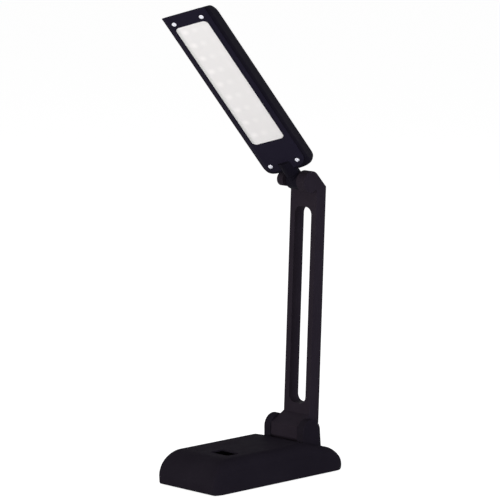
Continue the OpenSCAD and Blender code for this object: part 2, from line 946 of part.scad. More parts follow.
module head_housing() {
    in_head()
        color([0.13, 0.12, 0.14])
            difference() {
                union() {
                    difference() {
                        housing_form();
                        head_form(side_bulge + head_wall, deck, y_seam - 1, y_back);
                        head_form(head_wall, deck, y_seam + side_bulge + 0.3, y_back);
                        difference() {
                            head_form(lid_rim - seat_gap, -1, y_seam + 1, y_back + 1);
                            side_plate(-30, 30)
                                head_side(lid_thick);
                        }
                    }
                    intersection() {
                        head_form(1, lid_thick + 0.3, y_seam, y_back);
                        union() {
                            at_bezel_screws()
                                bar_y(3, y_seam, y_back);
                            for (s = [-1, 1])
                                translate([s * rib_x - rib_thick / 2, board_front + board_thick, window_z])
                                    cube([rib_thick, y_back, window_length]);
                            translate([-collar_block / 2, y_seam, z_heel])
                                cube([collar_block, y_back, heel + collar_overlap]);
                        }
                    }
                    translate([0, 0, collar_start])
                        cylinder(r = collar_radius, h = collar_end - collar_start);
                }
                translate([0, 0, collar_start - 1])
                    cylinder(r = stub_radius + running_fit, h = collar_end - collar_start - 0.5);
                translate([0, 0, clip_z - 0.2]) {
                    cylinder(r = clip_radius + moving_gap, h = clip_thick + 0.4);
                    translate([-clip_radius - moving_gap, 0, 0])
                        cube([2 * clip_radius + 2 * moving_gap, 10, clip_thick + 0.4]);
                }
                at_bezel_screws()
                    bar_y(1.1, y_face, y_seam + 4.2);
            }
}

module head_back_cover() {
    in_head()
        color([0.78, 0.78, 0.8])
            difference() {
                intersection() {
                    head_form(lid_rim, 0, y_seam + 1.2, y_back);
                    housing_form();
                }
                side_plate(-30, 30)
                    head_side(lid_thick);
            }
}

module bezel() {
    in_head()
        color([0.13, 0.12, 0.17])
            difference() {
                face_form();
                translate([0, 0, window_mid])
                    front_plate(y_face - 1, y_seam + 1)
                        round_rect(window_width, window_length, window_corner);
                translate([0, 0, z_near - 1])
                    cylinder(r = collar_radius + 0.1, h = collar_overlap + 1.1);
                at_bezel_screws() {
                    bar_y(1.3, y_face - 1, y_seam + 1);
                    bar_y(screw_head + 0.2, y_face - 1, y_face + 0.9);
                }
            }
}

module diffuser() {
    in_head()
        color([0.95, 0.95, 0.93])
            translate([0, 0, window_mid]) {
                front_plate(pane_front, y_seam + eps)
                    round_rect(window_width - 2 * seat_gap, window_length - 2 * seat_gap,
                               window_corner - seat_gap);
                front_plate(y_seam, y_seam + flange_thick)
                    round_rect(window_width + 2 * flange_grow, window_length + 2 * flange_grow,
                               window_corner);
            }
}

module led_board() {
    in_head()
        color([0.93, 0.93, 0.92])
            translate([-window_width / 2, board_front, window_z + 1])
                cube([window_width, board_thick, window_length - 2]);
}

module led_chips() {
    in_head()
        color([1, 0.95, 0.7])
            for (c = [0:led_columns - 1])
                for (r = [0:led_rows - 1])
                    translate([(r - (led_rows - 1) / 2) * led_row_step - led_size / 2,
                               board_front - 0.8,
                               window_z + led_start + c * led_step - led_size / 2])
                        cube([led_size, 0.8, led_size]);
}

module bezel_screws() {
    in_head()
        color([0.85, 0.85, 0.87])
            at_bezel_screws() {
                bar_y(screw_head, y_face - 0.1, y_face + 0.9);
                bar_y(1.1 - fixed_fit, y_face + 0.5, y_seam + 3.8);
            }
}

base_shell();
base_cover();
ballast_plate();
rubber_feet();
base_screws();
switch_button();
switch_plunger();
switch_housing();
control_board();
board_screws();
socket_board();
dc_socket();
lower_hinge_pin();
lower_hinge_washers();
lower_pin_cap();
arm_front_shell();
arm_rear_shell();
arm_screws();
arm_lead();
upper_hinge_pin();
upper_hinge_washers();
upper_pin_cap();
neck();
swivel_clip();
head_housing();
head_back_cover();
bezel();
diffuser();
led_board();
led_chips();
bezel_screws();
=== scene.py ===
import json
import logging
import math
from dataclasses import dataclass
from enum import Enum
from typing import Callable, Iterable, Optional, Sequence, Union

import bmesh
import bpy
from mathutils import Matrix, Vector

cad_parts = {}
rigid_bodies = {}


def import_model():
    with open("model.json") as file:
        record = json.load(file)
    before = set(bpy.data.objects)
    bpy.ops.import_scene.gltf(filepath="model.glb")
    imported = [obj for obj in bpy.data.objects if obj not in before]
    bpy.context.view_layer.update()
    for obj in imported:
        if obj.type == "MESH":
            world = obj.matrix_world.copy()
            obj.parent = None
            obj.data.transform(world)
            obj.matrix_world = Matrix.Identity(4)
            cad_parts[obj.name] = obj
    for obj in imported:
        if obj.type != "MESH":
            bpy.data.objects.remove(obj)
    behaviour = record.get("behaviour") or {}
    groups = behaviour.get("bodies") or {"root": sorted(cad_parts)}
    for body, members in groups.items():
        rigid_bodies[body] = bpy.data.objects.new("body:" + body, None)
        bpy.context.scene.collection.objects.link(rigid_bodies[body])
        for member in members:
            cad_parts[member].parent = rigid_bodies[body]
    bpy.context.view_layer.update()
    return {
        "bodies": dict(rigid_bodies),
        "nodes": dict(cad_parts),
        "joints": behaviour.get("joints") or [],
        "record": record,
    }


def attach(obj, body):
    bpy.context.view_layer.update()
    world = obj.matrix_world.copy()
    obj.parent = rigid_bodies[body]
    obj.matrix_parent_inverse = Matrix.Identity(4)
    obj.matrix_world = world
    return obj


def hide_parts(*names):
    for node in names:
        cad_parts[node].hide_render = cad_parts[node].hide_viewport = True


logging.basicConfig(level=logging.INFO, format="%(message)s")
LOG = logging.getLogger("desk_lamp")

MM = 0.001

Colour = tuple[float, float, float]
Point = tuple[float, float]
Triple = Sequence[float]
Shape = bmesh.types.BMesh
Solid = bpy.types.Object
Tree = bpy.types.NodeTree
Socket = bpy.types.NodeSocket

ACROSS = Vector((1, 0, 0))
UP = Vector((0, 0, 1))


def linear(value: float) -> float:
    """Returns a display value from 0 to 1 as the linear value that shades to it."""
    return value / 12.92 if value <= 0.04045 else ((value + 0.055) / 1.055) ** 2.4


def tint(red: float, green: float, blue: float) -> Colour:
    """Returns a linear colour from the three display values."""
    return (linear(red), linear(green), linear(blue))


# --------------------------------------------------------------------------- shader nodes


def add_node(tree: Tree, kind: str, inputs: Optional[dict[Union[str, int], object]] = None,
             **settings: object) -> bpy.types.Node:
    """Adds a node, sets it up, and fills its inputs.

    Args:
        tree: The tree that it goes into.
        kind: Blender's name of the node, without "ShaderNode".
        inputs: For an input's name or number, the value it holds or the socket it is linked to.
        settings: The node's own properties.

    Returns:
        The node.
    """
    node = tree.nodes.new("ShaderNode" + kind)
    for name, value in settings.items():
        setattr(node, name, value)
    for key, value in (inputs or {}).items():
        if isinstance(value, Socket):
            tree.links.new(value, node.inputs[key])
        else:
            node.inputs[key].default_value = value
    return node


def ranged(tree: Tree, socket: Socket, old: Point, new: Point) -> Socket:
    """Maps a value from one range to another, and clamps it.

    Args:
        tree: The node tree.
        socket: The value.
        old: Range that it comes in.
        new: Range that it leaves in.

    Returns:
        The mapped value.
    """
    node = add_node(tree, "MapRange", {"Value": socket, "From Min": old[0], "From Max": old[1],
                                       "To Min": new[0], "To Max": new[1]})
    return node.outputs["Result"]


def worked(tree: Tree, operation: str, first: object, second: object, clamp: bool = False) -> Socket:
    """Works out one sum.

    Args:
        tree: The node tree.
        operation: Blender's name of the sum.
        first: Its first value or socket.
        second: Its second value or socket.
        clamp: Whether the result is held between 0 and 1.

    Returns:
        The result.
    """
    node = add_node(tree, "Math", {0: first, 1: second}, operation=operation, use_clamp=clamp)
    return node.outputs["Value"]


def mixed(tree: Tree, share: Socket, first: object, second: Colour) -> Socket:
    """Mixes a colour into another.

    Args:
        tree: The node tree.
        share: Share of the second colour.
        first: The colour below, as four numbers or a socket.
        second: The colour that is mixed in.

    Returns:
        The mixed colour.
    """
    node = add_node(tree, "Mix", {"Factor": share, 6: first, 7: (*second, 1.0)}, data_type="RGBA")
    return node.outputs[2]


def empty_tree(owner: Union[bpy.types.Material, bpy.types.World]) -> Tree:
    """Switches an owner's nodes on and clears them.

    Args:
        owner: The material or world.

    Returns:
        Its empty node tree.
    """
    owner.use_nodes = True
    owner.node_tree.nodes.clear()
    return owner.node_tree


# --------------------------------------------------------------------------- finishes


class Grain(Enum):
    """How far a surface's fine relief is stretched: the scale along X, Y and Z."""

    EVEN = (1.0, 1.0, 1.0)
    BRUSHED = (0.04, 1.0, 1.0)


@dataclass(frozen=True)
class Finish:
    """One surface finish.

    Args:
        name: Name of the material.
        base: Main colour, linear.
        worn: Colour of lighter patches and rubbed edges, linear.
        roughness: Mean roughness.
        spread: How far the roughness wanders.
        grain: Kind of relief.
        scale: Relief cells per metre.
        relief: Height of the relief in metres.
        metallic: 0 for plastics and 1 for metals.
        specular: Specular level.
        edge: Share of the worn colour on sharp edges.
        corner: Radius in metres to which sharp edges look rounded.
    """

    name: str
    base: Colour
    worn: Colour
    roughness: float = 0.45
    spread: float = 0.08
    grain: Grain = Grain.EVEN
    scale: float = 1400.0
    relief: float = 0.00002
    metallic: float = 0.0
    specular: float = 0.3
    edge: float = 0.5
    corner: float = 0.0004

    def material(self) -> bpy.types.Material:
        """Builds the material, or returns it if it was built before.

        Returns:
            The Blender material of this finish.
        """
        known = bpy.data.materials.get(self.name)
        if known:
            return known
        mat = bpy.data.materials.new(self.name)
        tree = empty_tree(mat)
        coords = add_node(tree, "TexCoord").outputs["Object"]
        soft = add_node(tree, "Bevel", {"Radius": self.corner}, samples=4).outputs["Normal"]
        place = add_node(tree, "Mapping", {"Vector": coords, "Scale": self.grain.value}).outputs["Vector"]
        shader = add_node(tree, "BsdfPrincipled", {
            "Metallic": self.metallic, "Specular IOR Level": self.specular,
            "Base Color": self.colour(tree, coords, soft), "Roughness": self.rough(tree, place),
            "Normal": self.bumps(tree, place, soft)})
        add_node(tree, "OutputMaterial", {"Surface": shader.outputs["BSDF"]})
        return mat

    def colour(self, tree: Tree, coords: Socket, soft: Socket) -> Socket:
        """Adds slow colour variation and rubbed edges.

        Args:
            tree: The material's nodes.
            coords: Object coordinates.
            soft: Normal that is rounded at the edges.

        Returns:
            The colour.
        """
        cloud = add_node(tree, "TexNoise", {"Vector": coords, "Scale": 38.0, "Detail": 5.0, "Roughness": 0.6})
        patch = ranged(tree, cloud.outputs["Fac"], (0.4, 0.75), (0.0, 0.3))
        face = add_node(tree, "NewGeometry").outputs["Normal"]
        turn = add_node(tree, "VectorMath", {0: face, 1: soft}, operation="DOT_PRODUCT").outputs["Value"]
        rub = ranged(tree, turn, (0.985, 0.9), (0.0, self.edge))
        return mixed(tree, worked(tree, "ADD", patch, rub, True), (*self.base, 1.0), self.worn)

    def rough(self, tree: Tree, place: Socket) -> Socket:
        """Lets the roughness wander.

        Args:
            tree: The material's nodes.
            place: Coordinates, stretched along the grain.

        Returns:
            The roughness.
        """
        smear = add_node(tree, "TexNoise", {"Vector": place, "Scale": 90.0, "Detail": 6.0})
        return ranged(tree, smear.outputs["Fac"], (0.3, 0.7),
                      (max(0.02, self.roughness - self.spread), min(1.0, self.roughness + self.spread)))

    def bumps(self, tree: Tree, place: Socket, soft: Socket) -> Socket:
        """Adds the fine relief.

        Args:
            tree: The material's nodes.
            place: Coordinates, stretched along the grain.
            soft: Normal that is rounded at the edges.

        Returns:
            The normal.
        """
        cells = add_node(tree, "TexNoise", {"Vector": place, "Scale": self.scale, "Detail": 2.0})
        bump = add_node(tree, "Bump", {"Strength": 1.0, "Distance": self.relief,
                                       "Height": cells.outputs["Fac"], "Normal": soft})
        return bump.outputs["Normal"]


@dataclass(frozen=True)
class PaneFinish(Finish):
    """The translucent pane, with a painted glow patch over each LED, standing in for its light through the pane, and
    a painted shadow along its left rim.

    Args:
        bright: Colour of the painted glow patches, linear.
        first: Place of the first patch, across and along the head, in metres.
        step: Steps from patch to patch, across and along.
        spot: Radius of a patch in metres.
        fade: Places across the pane where the painted glow is full and where it is faint.
        shade: Colour of the painted shadow along the pane's left rim, linear.
        rim: Places across the pane where that painted shadow starts and ends.
    """

    bright: Colour = (1.0, 1.0, 1.0)
    first: Point = (-0.0092, 0.0663)
    step: Point = (0.0102, 0.0165)
    spot: float = 0.0042
    fade: Point = (-0.007, 0.006)
    shade: Colour = (0.6, 0.6, 0.6)
    rim: Point = (-0.0166, -0.0125)

    def colour(self, tree: Tree, coords: Socket, soft: Socket) -> Socket:
        """Adds the painted glow patches over the LEDs and the painted shadow along the left rim, laid along the head.

        Args:
            tree: The material's nodes.
            coords: Object coordinates.
            soft: Normal that is rounded at the edges.

        Returns:
            The colour.
        """
        plain = super().colour(tree, coords, soft)
        back = (Matrix.Scale(MM, 4) @ Rest().head() @ Matrix.Scale(1 / MM, 4)).inverted()
        lie = add_node(tree, "Mapping", {"Vector": coords, "Location": back.to_translation(),
                                         "Rotation": back.to_euler("XYZ")})
        parts = add_node(tree, "SeparateXYZ", {"Vector": lie.outputs["Vector"]}).outputs
        near = add_node(tree, "CombineXYZ", {
            i: self.off_centre(tree, parts[axis], self.first[i], self.step[i]) for i, axis in enumerate("XZ")})
        reach = add_node(tree, "VectorMath", {0: near.outputs["Vector"]}, operation="LENGTH").outputs["Value"]
        # painted glow: a bright patch over each LED stands in for its light through the pane, fainter across the pane
        # towards +X
        glow_share = ranged(tree, reach, (0.0, self.spot), (0.9, 0.0))
        faint = ranged(tree, parts["X"], self.fade, (1.0, 0.15))
        lit = mixed(tree, worked(tree, "MULTIPLY", glow_share, faint), plain, self.bright)
        # painted shadow along the pane's left rim, where the bezel's edge shades it
        return mixed(tree, ranged(tree, parts["X"], self.rim, (1.0, 0.0)), lit, self.shade)

    @staticmethod
    def off_centre(tree: Tree, place: Socket, first: float, step: float) -> Socket:
        """Measures how far a place is from the nearest patch along one axis.

        Args:
            tree: The material's nodes.
            place: The place along the axis.
            first: Where the first patch is.
            step: Step from patch to patch.

        Returns:
            The signed distance.
        """
        shift = worked(tree, "SUBTRACT", place, first - step / 2)
        return worked(tree, "SUBTRACT", worked(tree, "FLOORED_MODULO", shift, step), step / 2)


BLACK_BASE = Finish("base_black_plastic", tint(0.118, 0.104, 0.132), tint(0.155, 0.14, 0.168),
                    0.6, 0.05, specular=0.0024)
BLACK_ARM = Finish("arm_black_plastic", tint(0.146, 0.125, 0.155), tint(0.195, 0.172, 0.205),
                   0.55, 0.05, specular=0.008)
BLACK_HEAD = Finish("head_black_plastic", tint(0.083, 0.074, 0.107), tint(0.125, 0.115, 0.145),
                    0.55, 0.05, specular=0.008)
BEZEL_BLACK = Finish("bezel_black_plastic", tint(0.115, 0.103, 0.152), tint(0.15, 0.137, 0.185),
                     0.5, 0.05, specular=0.012)
COVER_GREY = Finish("cover_grey_paint", tint(0.80, 0.80, 0.81), tint(0.74, 0.74, 0.75), 0.4, 0.05, specular=0.4)
RUBBER = Finish("foot_rubber", tint(0.05, 0.05, 0.05), tint(0.09, 0.09, 0.09), 0.85, 0.06)
STEEL = Finish("turned_steel", tint(0.68, 0.68, 0.7), tint(0.8, 0.8, 0.82), 0.3, 0.08, Grain.BRUSHED,
               900.0, 0.00001, 1.0, specular=0.5, corner=0.0002)
SCREW_BRIGHT = Finish("nickel_screws", tint(0.9, 0.9, 0.93), tint(0.97, 0.97, 0.99), 0.3, 0.05, Grain.EVEN,
                      900.0, 0.000005, 0.6, specular=0.5, corner=0.00015)
BUTTON_BLACK = Finish("button_black_plastic", tint(0.02, 0.015, 0.02), tint(0.035, 0.03, 0.035),
                      0.5, 0.04, specular=0.0)
BOARD_GREEN = Finish("board_green_mask", tint(0.1, 0.35, 0.2), tint(0.14, 0.42, 0.25), 0.35)
BOARD_WHITE = Finish("board_white_mask", tint(0.93, 0.93, 0.92), tint(0.88, 0.88, 0.86), 0.4)
PLAIN_PLASTIC = Finish("inner_black_plastic", tint(0.08, 0.08, 0.09), tint(0.13, 0.13, 0.14), 0.55)
PLUNGER_WHITE = Finish("plunger_white_plastic", tint(0.86, 0.86, 0.83), tint(0.8, 0.8, 0.77), 0.4)
LEAD_RED = Finish("lead_red_sleeve", tint(0.6, 0.08, 0.08), tint(0.5, 0.07, 0.07), 0.45)
CHIP_YELLOW = Finish("chip_phosphor", tint(1.0, 0.94, 0.72), tint(0.96, 0.88, 0.62), 0.5)
# pane white with painted glow patches over the LEDs and a painted shadow on its left rim
PANE_WHITE = PaneFinish("pane_white", tint(0.944, 0.93, 0.927), tint(0.91, 0.9, 0.893), 0.35, specular=0.1,
                        bright=tint(1.0, 0.985, 0.98), shade=tint(0.82, 0.82, 0.81))

NODE_FINISH: dict[str, Finish] = {
    "base_shell": BLACK_BASE, "base_cover": PLAIN_PLASTIC, "ballast_plate": STEEL, "rubber_feet": RUBBER,
    "base_screws": STEEL, "switch_button": BUTTON_BLACK, "switch_plunger": PLUNGER_WHITE,
    "switch_housing": PLAIN_PLASTIC, "control_board": BOARD_GREEN, "board_screws": STEEL,
    "socket_board": BOARD_GREEN, "dc_socket": PLAIN_PLASTIC, "lower_hinge_pin": STEEL,
    "lower_hinge_washers": STEEL, "lower_pin_cap": PLAIN_PLASTIC, "arm_front_shell": BLACK_ARM,
    "arm_rear_shell": BLACK_ARM, "arm_screws": STEEL, "arm_lead": LEAD_RED, "upper_hinge_pin": STEEL,
    "upper_hinge_washers": STEEL, "upper_pin_cap": PLAIN_PLASTIC, "neck": BLACK_HEAD, "swivel_clip": STEEL,
    "head_housing": BLACK_HEAD, "head_back_cover": COVER_GREY, "bezel": BEZEL_BLACK,
    "diffuser": PANE_WHITE, "led_board": BOARD_WHITE, "led_chips": CHIP_YELLOW, "bezel_screws": SCREW_BRIGHT,
}


# --------------------------------------------------------------------------- shaping


class Cut(Enum):
    """How a second solid changes a first one."""

    ADD = "UNION"
    TAKE = "DIFFERENCE"
    KEEP = "INTERSECT"


def placed(name: str, data: Optional[bpy.types.ID]) -> Solid:
    """Puts a new object into the scene.

    Args:
        name: Its name.
        data: The mesh, camera or lamp that it shows.

    Returns:
        The object.
    """
    obj = bpy.data.objects.new(name, data)
    bpy.context.scene.collection.objects.link(obj)
    return obj


def as_object(name: str, bm: Shape, outwards: bool = True) -> Solid:
    """Turns a bmesh into an object of the scene and frees it.

    Args:
        name: Name of the object.
        bm: The shape, in millimetres.
        outwards: Whether its faces are turned outwards first.

    Returns:
        The new object.
    """
    if outwards:
        bmesh.ops.recalc_face_normals(bm, faces=bm.faces)
    mesh = bpy.data.meshes.new(name)
    bm.to_mesh(mesh)
    bm.free()
    return placed(name, mesh)


def use_up(obj: Solid) -> None:
    """Removes an object and its mesh.

    Args:
        obj: The object.
    """
    mesh = obj.data
    bpy.data.objects.remove(obj)
    bpy.data.meshes.remove(mesh)


def settle(obj: Solid) -> None:
    """Applies an object's modifiers to its mesh.

    Args:
        obj: The object.
    """
    graph = bpy.context.evaluated_depsgraph_get()
    mesh = bpy.data.meshes.new_from_object(obj.evaluated_get(graph))
    old = obj.data
    obj.modifiers.clear()
    obj.data = mesh
    bpy.data.meshes.remove(old)
    mesh.name = obj.name


def carve(obj: Solid, other: Solid, way: Cut) -> Solid:
    """Combines a solid with a second one, which is used up.

    Args:
        obj: The solid that changes.
        other: The second solid.
        way: Add it, take it away, or keep what they share.

    Returns:
        The changed solid.
    """
    mod = obj.modifiers.new("carve", "BOOLEAN")
    mod.operation = way.value
    mod.solver = "EXACT"
    mod.object = other
    bpy.context.view_layer.update()
    settle(obj)
    use_up(other)
    return obj


def bevelled(bm: Shape, edges: Iterable[bmesh.types.BMEdge], radius: float, steps: int, clamp: bool = True) -> None:
    """Rounds some edges.

    Args:
        bm: The shape.
        edges: The edges.
        radius: Radius of the round.
        steps: Segments of the round.
        clamp: Whether neighbouring rounds stop where they meet.
    """
    bmesh.ops.bevel(bm, geom=list(edges), offset=radius, offset_type="OFFSET", segments=steps,
                    profile=0.5, affect="EDGES", material=-1, clamp_overlap=clamp)


def block(size: Triple, centre: Triple, axis: Optional[int] = None, radius: float = 0.0, steps: int = 8) -> Shape:
    """Makes a box, whose edges along one axis may be round.

    Args:
        size: Length along X, Y and Z.
        centre: Middle of the box.
        axis: Number of the axis along which the round edges run, or None.
        radius: Radius of those edges.
        steps: Segments of each round.

    Returns:
        The shape.
    """
    bm = bmesh.new()
    bmesh.ops.create_cube(bm, size=1.0)
    bmesh.ops.scale(bm, vec=size, verts=bm.verts)
    bmesh.ops.translate(bm, vec=centre, verts=bm.verts)
    if axis is not None:
        along = [e for e in bm.edges if abs((e.verts[0].co - e.verts[1].co).normalized()[axis]) > 0.99]
        bevelled(bm, along, radius, steps, False)
    return bm


def round_edges(bm: Shape, radius: float, over: float, steps: int = 2,
                chosen: Optional[Callable[[bmesh.types.BMEdge], bool]] = None) -> None:
    """Rounds the outer edges that turn by more than an angle.

    Args:
        bm: The shape.
        radius: Radius of the round.
        over: Smallest turn in degrees that counts as an edge.
        steps: Segments of the round.
        chosen: Test that an edge has to pass as well.
    """
    limit = math.radians(over)
    bevelled(bm, [e for e in bm.edges if e.is_manifold and e.calc_face_angle_signed(0.0) > limit
                  and (chosen is None or chosen(e))], radius, steps)


def new_verts(lift: dict) -> list[bmesh.types.BMVert]:
    """Returns the vertices that an extrusion made."""
    return [v for v in lift["geom"] if isinstance(v, bmesh.types.BMVert)]


def rod(radius: float, start: Triple, end: Triple, sides: int = 64) -> Shape:
    """Makes a round bar between two points.

    Args:
        radius: Its radius.
        start: Centre of one end.
        end: Centre of the other end.
        sides: Number of sides.

    Returns:
        The shape.
    """
    way = Vector(end) - Vector(start)
    bm = bmesh.new()
    bmesh.ops.create_circle(bm, cap_ends=True, segments=sides, radius=radius)
    lift = bmesh.ops.extrude_face_region(bm, geom=bm.faces[:])
    bmesh.ops.translate(bm, vec=(0, 0, way.length), verts=new_verts(lift))
    turn = UP.rotation_difference(way).to_matrix().to_4x4()
    bmesh.ops.transform(bm, matrix=Matrix.Translation(start) @ turn, verts=bm.verts)
    return bm


def bar(obj: Solid, way: Cut, radius: float, start: Triple, end: Triple, sides: int = 64) -> None:
    """Adds a round bar to a solid, or takes it away as a hole.

    Args:
        obj: The solid that changes.
        way: Add the bar or take it away.
        radius: Its radius.
        start: Centre of one end.
        end: Centre of the other end.
        sides: Number of sides.
    """
    carve(obj, as_object("bar", rod(radius, start, end, sides)), way)


def turned(profile: Sequence[Point], steps: int = 40) -> Shape:
    """Makes a solid of revolution about Z.

    Args:
        profile: Points (radius, height), from the axis and back to it.
        steps: Segments of the full turn.

    Returns:
        The shape.
    """
    bm = bmesh.new()
    verts = [bm.verts.new((r, 0.0, z)) for r, z in profile]
    edges = [bm.edges.new(pair) for pair in zip(verts, verts[1:])]
    bmesh.ops.spin(bm, geom=verts + edges, cent=(0, 0, 0), axis=(0, 0, 1), dvec=(0, 0, 0),
                   angle=math.tau, steps=steps, use_merge=True, use_duplicate=False)
    bmesh.ops.remove_doubles(bm, verts=bm.verts, dist=1e-4)
    return bm


def prism(outline: Iterable[Point], axis: int, low: float, high: float, rim: float = 0.0) -> Shape:
    """Extrudes an outline along X (its points are Y, Z) or along Y (its points are X, Z).

    Args:
        outline: Points of the outline, in order.
        axis: 0 for X, 1 for Y.
        low: Where the solid starts.
        high: Where it ends.
        rim: Radius of the edges round the two ends, or 0.

    Returns:
        The shape.
    """
    bm = bmesh.new()
    face = bm.faces.new([bm.verts.new((low, a, b) if axis == 0 else (a, low, b)) for a, b in outline])
    lift = bmesh.ops.extrude_face_region(bm, geom=[face])
    step = [0.0, 0.0, 0.0]
    step[axis] = high - low
    bmesh.ops.translate(bm, vec=step, verts=new_verts(lift))
    bmesh.ops.recalc_face_normals(bm, faces=bm.faces)
    if rim:
        round_edges(bm, rim, 60.0, 3, lambda e: abs(e.verts[0].co[axis] - e.verts[1].co[axis]) < 1e-5)
    return bm


def loft(name: str, rings: Sequence[Sequence[Triple]]) -> Solid:
    """Extrudes a closed ring of edges from slice to slice, and closes both ends.

    Args:
        name: Name of the solid.
        rings: The points of each slice, as many in each.

    Returns:
        The solid.
    """
    bm = bmesh.new()
    ring = [bm.verts.new(place) for place in rings[0]]
    edges = [bm.edges.new(pair) for pair in zip(ring, ring[1:] + ring[:1])]
    bmesh.ops.contextual_create(bm, geom=edges)
    for points in rings[1:]:
        step = bmesh.ops.extrude_edge_only(bm, edges=edges)["geom"]
        edges = [g for g in step if isinstance(g, bmesh.types.BMEdge)]
        fresh = {v for e in edges for v in e.verts}
        ring = [next(e.other_vert(v) for e in v.link_edges if e.other_vert(v) in fresh) for v in ring]
        for vert, place in zip(ring, points):
            vert.co = place
    bmesh.ops.contextual_create(bm, geom=edges)
    return as_object(name, bm)


def arc(centre: Point, radius: float, start: float, end: float, steps: int) -> list[Point]:
    """Works out points on an arc.

    Args:
        centre: Its centre.
        radius: Its radius.
        start: First angle in degrees, from the first axis.
        end: Last angle.
        steps: Number of steps.

    Returns:
        The points, first and last included.
    """
    turns = [math.radians(start + (end - start) * i / steps) for i in range(steps + 1)]
    return [(centre[0] + radius * math.cos(a), centre[1] + radius * math.sin(a)) for a in turns]


@dataclass(frozen=True)
class Screw:
    """A cross-recessed screw, its head's top at z = 0 and its shank towards -Z, in millimetres.

    Args:
        radius: Radius of the head.
        dome: Height of the head's dome.
        thick: Thickness of the head below the dome.
        shank: Radius of the shank.
        length: Length below the head.
    """

    radius: float
    dome: float
    thick: float
    shank: float
    length: float

    def profile(self) -> list[Point]:
        """Works out half of the screw's outline.

        Returns:
            Points (radius, height) from the top to the point.
        """
        neck = -self.dome - self.thick
        root, pitch = self.shank * 0.82, self.shank * 0.55
        crown = [(self.radius * math.sin(math.radians(a)), -self.dome * (1 - math.cos(math.radians(a))))
                 for a in range(0, 91, 15)]
        ridges = []
        depth = neck
        while depth - pitch > neck - self.length + self.shank:
            ridges += [(root, depth - pitch * 0.35), (self.shank, depth - pitch)]
            depth -= pitch
        return crown + [(self.radius, neck), (self.shank, neck)] + ridges + [(root, depth - 0.2),
                                                                             (0.0, neck - self.length)]

    def build(self) -> Solid:
        """Makes the screw.

        Returns:
            The screw.
        """
        screw = as_object("screw", turned(self.profile(), 32))
        deep = self.dome + self.thick * 0.7
        for turn in (0.0, math.pi / 2):
            slot = block((self.radius * 1.1, self.radius * 0.24, deep), (0, 0, 0))
            bmesh.ops.scale(slot, vec=(0.5, 0.6, 1.0), verts=[v for v in slot.verts if v.co.z < 0])
            bmesh.ops.rotate(slot, cent=(0, 0, 0), matrix=Matrix.Rotation(turn, 3, "Z"), verts=slot.verts)
            bmesh.ops.translate(slot, vec=(0, 0, -deep / 2 + 0.05), verts=slot.verts)
            carve(screw, as_object("recess", slot), Cut.TAKE)
        return screw


def copies(obj: Solid, places: Sequence[Matrix], name: str) -> Solid:
    """Puts copies of an object into one mesh.

    Args:
        obj: The object that is copied and used up.
        places: Where the copies stand.
        name: Name of the result.

    Returns:
        The new object.
    """
    bm = bmesh.new()
    for place in places:
        part = obj.data.copy()
        part.transform(place)
        bm.from_mesh(part)
        bpy.data.meshes.remove(part)
    use_up(obj)
    return as_object(name, bm)


def complete(obj: Solid, frame: Matrix, finish: Finish, body: str, nodes: tuple[str, ...],
             sharp: float = 32.0) -> None:
    """Places a finished piece, shades it smooth between its edges, and gives it its body and finish.

    Args:
        obj: The piece, in millimetres in its own frame.
        frame: The frame's place, in millimetres.
        finish: Its finish.
        body: The moving body that it rides on.
        nodes: The solids that it stands for.
        sharp: Turn in degrees over which an edge stays sharp.
    """
    obj.data.transform(Matrix.Scale(MM, 4) @ frame)
    bm = bmesh.new()
    bm.from_mesh(obj.data)
    for face in bm.faces:
        face.smooth = True
    for edge in bm.edges:
        edge.smooth = not (edge.is_manifold and edge.calc_face_angle(0.0) > math.radians(sharp))
    bm.to_mesh(obj.data)
    bm.free()
    even = obj.modifiers.new("even_normals", "WEIGHTED_NORMAL")
    even.keep_sharp = True
    obj.data.materials.append(finish.material())
    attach(obj, body)
    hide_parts(*nodes)
    LOG.info("piece %s stands for %s on %s", obj.name, ", ".join(nodes), body)


# --------------------------------------------------------------------------- frames and base


@dataclass
class Rest:
    """Frames of the moving parts at rest, in millimetres."""

    foot: float = 1.0
    hinge_y: float = 54.1
    hinge_z: float = 37.2
    lean: float = 2.4
    reach: float = 232.5
    forward: float = 2.6
    neck_x: float = -1.4
    tilt: float = 40.9
    twist: float = 25.7

    def base(self) -> Matrix:
        """Returns the frame of the base."""
        return Matrix.Translation((0, 0, self.foot))

    def arm(self) -> Matrix:
        """Returns the frame of the arm, on the lower hinge axis."""
        return (Matrix.Translation((0, self.hinge_y, self.foot + self.hinge_z))
                @ Matrix.Rotation(math.radians(-self.lean), 4, "X"))

    def neck(self) -> Matrix:
        """Returns the frame of the neck, on the upper hinge axis."""
        return (self.arm() @ Matrix.Translation((self.neck_x, -self.forward, self.reach))
                @ Matrix.Rotation(math.radians(self.lean + self.tilt), 4, "X"))

    def head(self) -> Matrix:
        """Returns the frame of the head, turned about the neck."""
        return self.neck() @ Matrix.Rotation(math.radians(self.twist), 4, "Z")


